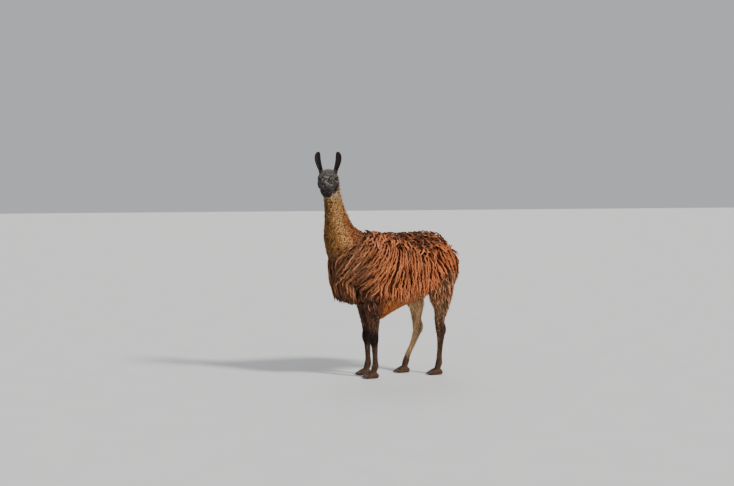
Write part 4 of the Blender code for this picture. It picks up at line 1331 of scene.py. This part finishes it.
def tail_wool(tree, wool):
    tube = Tube(tail_sections(), (0.02, 0.01))
    roots = settled(tube, tree, spacing=0.017, span=(0.10, 0.92), reach=0.012)
    lengths, lifts = roots.any_of(0.06, 0.10), roots.any_of(0.008, 0.020)
    lay = stroked(roots, down(roots.points, roots.ups), lengths, lifts, 9, roots.about_zero(0.06))
    colours = varied(fleece_colour(roots.points) * depth_shade(lifts), 0.25)
    widths = roots.any_of(0.013, 0.018)
    roped("tail_wool", lay, widths, colours, roots.places, wool, strands=5, pitch=0.085, wave=(0.003, 0.050))


def streaked(roots, lifts, spread, share, gain):
    """Colours of leg hair: dark and light streaks down the leg, and a random share of pale tufts."""
    colours = varied(leg_colour(roots.points) * depth_shade(lifts), spread, 0.05)
    colours = colours * (0.05 + 1.9 * patches(roots.points * [1, 1, 0.12], 50.0, 5))
    pale = rng.uniform(0, 1, (roots.count, 1)) < share
    return softened(colours * np.where(pale, gain, 1.0), 0.95) * 0.9


def long_leg_hair(leg, tree, hair):
    """Shaggy hair on the thigh or the upper foreleg, below the wool of the side."""
    roots = settled(limb_tube(leg), tree, spacing=0.0105, span=(0.2, 1.0), reach=0.008)
    roots = roots.where(roots.z < np.interp(roots.y, SIDE_HEM_Y, SIDE_HEM) + 0.12)
    lengths = roots.any_of(0.045, 0.090)
    ways = along_skin(unit(down(roots.points, roots.ups) + np.array([0, 0.25, 0])), roots.ups)
    lifts = roots.any_of(0.006, 0.024)
    lay = stroked(roots, ways, lengths, lifts, 6, roots.about_zero(0.09))
    colours = streaked(roots, lifts, spread=0.50, share=0.22, gain=3.0)
    name, widths = f"{leg.name}_long_hair", roots.any_of(0.0045, 0.0080)
    coat(name, lay, widths, colours, roots.places, hair)


def short_leg_hair(leg, tree, hair):
    """Flat tufts down the leg, which get smaller towards the toes and cover them."""
    roots = settled(shank_tube(leg), tree, spacing=0.0058, span=(0.0, 0.99), reach=0.006)
    roots.places[:, 0] *= 0.84
    ways = down(roots.points, roots.ups)
    for inner in (1, -1):
        toe = settled(toe_tube(leg, inner), tree, spacing=0.0043, span=(0.0, 0.86), reach=0.006)
        toe = toe.where((toe.ups[:, 2] > -0.35) & (toe.z > 0.005))
        toe.places = toe.places * [0.12, 0.46] + [0.86, 0.25 + 0.25 * inner]
        toe_ways = along_skin(np.tile([0.0, -1.0, -0.25], (toe.count, 1)), toe.ups)
        roots, ways = roots.with_more(toe), np.concatenate([ways, toe_ways])
    size = np.interp(roots.z, [0.03, 0.10, 0.30, 0.45, 0.62], [0.42, 0.62, 0.85, 1.4, 2.2])
    lengths = roots.any_of(0.018, 0.030) * size
    ways = unit(ways + np.cross(roots.ups, ways) * rng.normal(0, 0.18, (roots.count, 1)))
    lifts = roots.any_of(0.0014, 0.0050) * size
    lay = stroked(roots, ways, lengths, lifts, 3)
    colours = streaked(roots, lifts / size, spread=0.42, share=0.16, gain=2.4)
    widths = roots.any_of(0.0024, 0.0040) * size
    coat(f"{leg.name}_hair", lay, widths, colours, roots.places, hair)


def hairy_face(local):
    """Where short hair grows on the head: not on the ears, in the eyes, the nostrils or the mouth."""
    ahead, height = -local[:, 1], local[:, 2]
    wanted = (ahead > -0.02) & (0.6 * height + ahead > -0.012) & (ahead < 0.326)
    wanted &= ~((ahead > 0.20) & (np.abs(height - MOUTH_UP) < 0.004)) & (height < 0.090)
    for side, _ in SIDES:
        eye = moved(local, eye_place(side).inverted())
        gap = np.hypot(eye[:, 1] / (ALMOND_WIDTH + 0.001), eye[:, 2] / (ALMOND_HEIGHT + 0.0005))
        wanted &= ~((gap < 1) & (side * eye[:, 0] > 0)) & (np.linalg.norm(eye, axis=1) > EYE_RADIUS + 0.0014)
        ear = moved(local, ear_place(side).inverted())
        wanted &= ~((ear[:, 2] > 0.006) & (np.hypot(ear[:, 0], ear[:, 1]) < 0.036))
        hole = local - np.array(nostril_centre(side))
        wanted &= np.linalg.norm(hole / [1.0, 1.6, 1.4], axis=1) > 0.0072
    return wanted


def face_hair(skin, hair):
    """Small flat tufts that lie back from the nose over the face, longer on the crown and the jaw."""
    points, ups = spread_over(skin, 0.0033, hairy_face)
    local = in_head(points)
    across, ahead, height = np.abs(local[:, 0]), -local[:, 1], local[:, 2]
    turn = np.arctan2(height, local[:, 0])
    roots = Roots(points, ups, np.stack([0.08 + 2.5 * ahead, 0.5 + 0.47 * turn / math.pi], 1))
    from_ear = np.hypot(across - EAR_ACROSS, ahead - EAR_AHEAD)
    size = np.interp(ahead, [0.0, 0.06, 0.14, 0.26, 0.29, 0.31], [2.0, 1.5, 1.0, 0.95, 0.80, 0.65])
    size *= np.interp(height, [-0.08, -0.03, 0.05, 0.075], [1.5, 1.0, 1.0, 1.3])
    size *= np.interp(to_eye(local), [0.022, 0.026, 0.045], [0.45, 0.75, 1.0])
    size *= np.interp(from_ear, [0.020, 0.050], [0.55, 1.0]) ** ramp(height, 0.02, 0.05)[:, 0]
    back = np.array(HEAD_PLACE.to_3x3() @ Vector((0, 1, -0.15)))
    ways = along_skin(np.tile(back, (roots.count, 1)), ups)
    ways = unit(ways + np.cross(ups, ways) * rng.normal(0, 0.20, (roots.count, 1)))
    lengths = roots.any_of(0.007, 0.011) * size
    lay = stroked(roots, ways, lengths, roots.any_of(0.0006, 0.0018) * size, 3)
    colours = varied(head_colour(points), 0.30, 0.05)
    coat("face_hair", lay, roots.any_of(0.0015, 0.0023) * size, colours, roots.places, hair)


def ear_hair(hair):
    """Short hair up the back of each ear and along its rims, and longer grey hair in its cup."""
    step = 0.01
    kinds = (("back", 0, 2000, 0.008, EAR, 1), ("cup", EAR_WALL, 600, 0.012, EAR_INSIDE, -1))
    for side, name in SIDES:
        place = HEAD_PLACE @ ear_place(side)
        for label, inset, count, longest, base, out in kinds:
            t, turn = rng.uniform(0.02, 0.97, count), rng.uniform(-0.5, 0.5, count)
            here = ear_at(side, t, turn, inset)
            upward = unit(ear_at(side, t + step, turn, inset) - here)
            around = unit(ear_at(side, t, turn + step, inset) - here)
            ups = unit(np.cross(around, upward))
            outward = here - ear_at(side, t, turn, 1.0)
            ups *= np.sign((ups * outward).sum(1, keepdims=True)) * out
            places = np.stack([0.1 + 0.8 * t, 0.5 + 0.8 * turn], 1)
            roots = Roots(moved(here, place), turned(ups, place), places)
            lengths = roots.any_of(0.5, 1.0) * longest * np.interp(t, [0, 0.85, 1], [1.2, 1.0, 0.5])
            lay = stroked(roots, turned(upward, place), lengths, roots.any_of(0.0003, 0.0010), 3)
            colours = varied(np.tile(base, (count, 1)), 0.25, 0.05)
            widths = roots.any_of(0.0012, 0.0020)
            coat(f"ear_{label}_{name}", lay, widths, colours, places, hair)


def lashes(hair, count=24):
    """A row of long lashes along the upper lid of each eye."""
    radius = EYE_RADIUS + LID * 0.6
    for side, name in SIDES:
        t = np.linspace(0.16, 0.86, count) * math.pi + rng.normal(0, 0.02, count)
        y, z = -ALMOND_WIDTH * np.cos(t), ALMOND_HEIGHT * 0.92 * np.sin(t) ** 0.85 + 0.0003
        own = np.stack([side * np.sqrt(radius**2 - y**2 - z**2), y, z], 1)
        place = HEAD_PLACE @ eye_place(side)
        ways = turned(unit(own * [1, 1.2, 0] + [0, 0, 0.004]), place)
        ups = unit(np.cross(ways, np.cross([0, 0, 1], ways)))
        roots = Roots(moved(own, place), ups, np.stack([t / math.pi, np.full(count, 0.5)], 1))
        lay = stroked(roots, ways, roots.any_of(0.008, 0.012), np.full(count, -0.002), 6)
        colours = np.tile(FACE_DARK * 0.5, (count, 1))
        coat(f"lashes_{name}", lay, np.full(count, 0.0009), colours, roots.places, hair, 0.8)


# Stage


def build_stage():
    floor = object_from("floor", [(-60, -60, 0), (60, -60, 0), (60, 60, 0), (-60, 60, 0)], [(0, 1, 2, 3)])
    made, tree, shader = new_finish("floor", Roughness=0.8)
    grain = noise_over(tree, linked(tree, "ShaderNodeTexCoord").outputs["Object"], 3.0, 6.0)
    tone = linked(tree, "ShaderNodeMapRange", {"Value": grain.outputs[0], "To Min": 0.60, "To Max": 0.66})
    tree.links.new(tone.outputs[0], shader.inputs["Base Color"])
    floor.data.materials.append(made)
    world = bpy.data.worlds.new("studio")
    world.use_nodes = True
    sky = world.node_tree.nodes["Background"]
    sky.inputs["Color"].default_value = (0.80, 0.82, 0.85, 1)
    sky.inputs["Strength"].default_value = 0.60
    bpy.context.scene.world = world


def add_light(name, azimuth, elevation, strength, spread, colour=(1, 1, 1)):
    """A distant soft lamp, placed round the animal like a view; spread is its width in degrees."""
    lamp = bpy.data.lights.new(name, "SUN")
    lamp.angle = math.radians(spread)
    lamp.energy = strength
    lamp.color = colour
    obj = new_object(name, lamp)
    a, e = math.radians(azimuth), math.radians(elevation)
    back = Vector((math.sin(a) * math.cos(e), -math.cos(a) * math.cos(e), math.sin(e)))
    obj.location = Vector((0, 0, 1.0)) + back * 6
    obj.rotation_mode = "QUATERNION"
    obj.rotation_quaternion = (-back).to_track_quat("-Z", "Y")


IMAGE_WIDTH, IMAGE_HEIGHT = 734, 486
CAMERA_AZIMUTH = math.radians(67)
CAMERA_DISTANCE, CAMERA_HEIGHT = 10.0, 1.566
FOCAL_PIXELS = 1220
HORIZON_ROW = 185
ORIGIN_COLUMN = 391
SENSOR = 36.0


def build_camera():
    lens = bpy.data.cameras.new("camera")
    lens.sensor_width = SENSOR
    lens.lens = FOCAL_PIXELS / IMAGE_WIDTH * SENSOR
    camera = new_object("camera", lens)
    bearing = Vector((math.sin(CAMERA_AZIMUTH), -math.cos(CAMERA_AZIMUTH), 0))
    camera.location = SHIFT + bearing * CAMERA_DISTANCE + Vector((0, 0, CAMERA_HEIGHT))
    yaw = math.atan((ORIGIN_COLUMN - IMAGE_WIDTH / 2) / FOCAL_PIXELS)
    pitch = math.atan((IMAGE_HEIGHT / 2 - HORIZON_ROW) / FOCAL_PIXELS)
    camera.rotation_euler = (math.pi / 2 - pitch, 0, CAMERA_AZIMUTH + yaw)
    bpy.context.scene.camera = camera


FLESH = ["torso", "neck", "tail", "head", "ear_left", "ear_right"]
FLESH += [f"{leg.name}_{length}" for leg in LEGS for length in ("upper", "lower", "foot")]


def main():
    skin = build_skin()
    tree = tree_of(skin)
    # The skin's colours darkened as painted shade under the coat.
    paint(skin.data, skin_colour(points_of(skin)) * 0.62)
    skin.data.materials.clear()
    skin.data.materials.append(skin_finish())
    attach(skin, "root")
    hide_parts(*FLESH)

    wool = hair_finish("wool", 0.78, 0.06, lines=(22, 55), contrast=(0.50, 1.40), bump=0.8)
    short_wool = hair_finish("short_wool", 0.88, 0.06, lines=(8, 90), contrast=(0.50, 1.35), bump=0.8)
    dark_hair = hair_finish("dark_hair", 0.62, 0.03, lines=(9, 30), contrast=(0.50, 1.40))
    face = hair_finish("face_hair", 0.55, 0.03, lines=(6, 40), contrast=(0.65, 1.35))
    underwool(tree, wool)
    fleece(tree, wool)
    back_wool(tree, wool)
    belly_wool(tree, short_wool)
    chest_wool(tree, wool)
    neck_wool(skin, tree, short_wool)
    tail_wool(tree, wool)
    for leg in LEGS:
        long_leg_hair(leg, tree, dark_hair)
        short_leg_hair(leg, tree, dark_hair)
    face_hair(skin, face)
    ear_hair(face)
    lashes(face)
    skin.data.transform(Matrix.Translation(SHIFT))

    gloss = eye_finish()
    for side, name in SIDES:
        build_eye(side, f"eyeball_{name}", f"eye_{name}", gloss)
    build_nails(horn_finish())

    build_stage()
    add_light("key", 122, 40, 3.9, 10, (1.0, 0.965, 0.92))
    add_light("fill", 15, 30, 0.20, 60, (0.93, 0.96, 1.0))
    add_light("back", 250, 45, 0.7, 40)
    build_camera()


main()
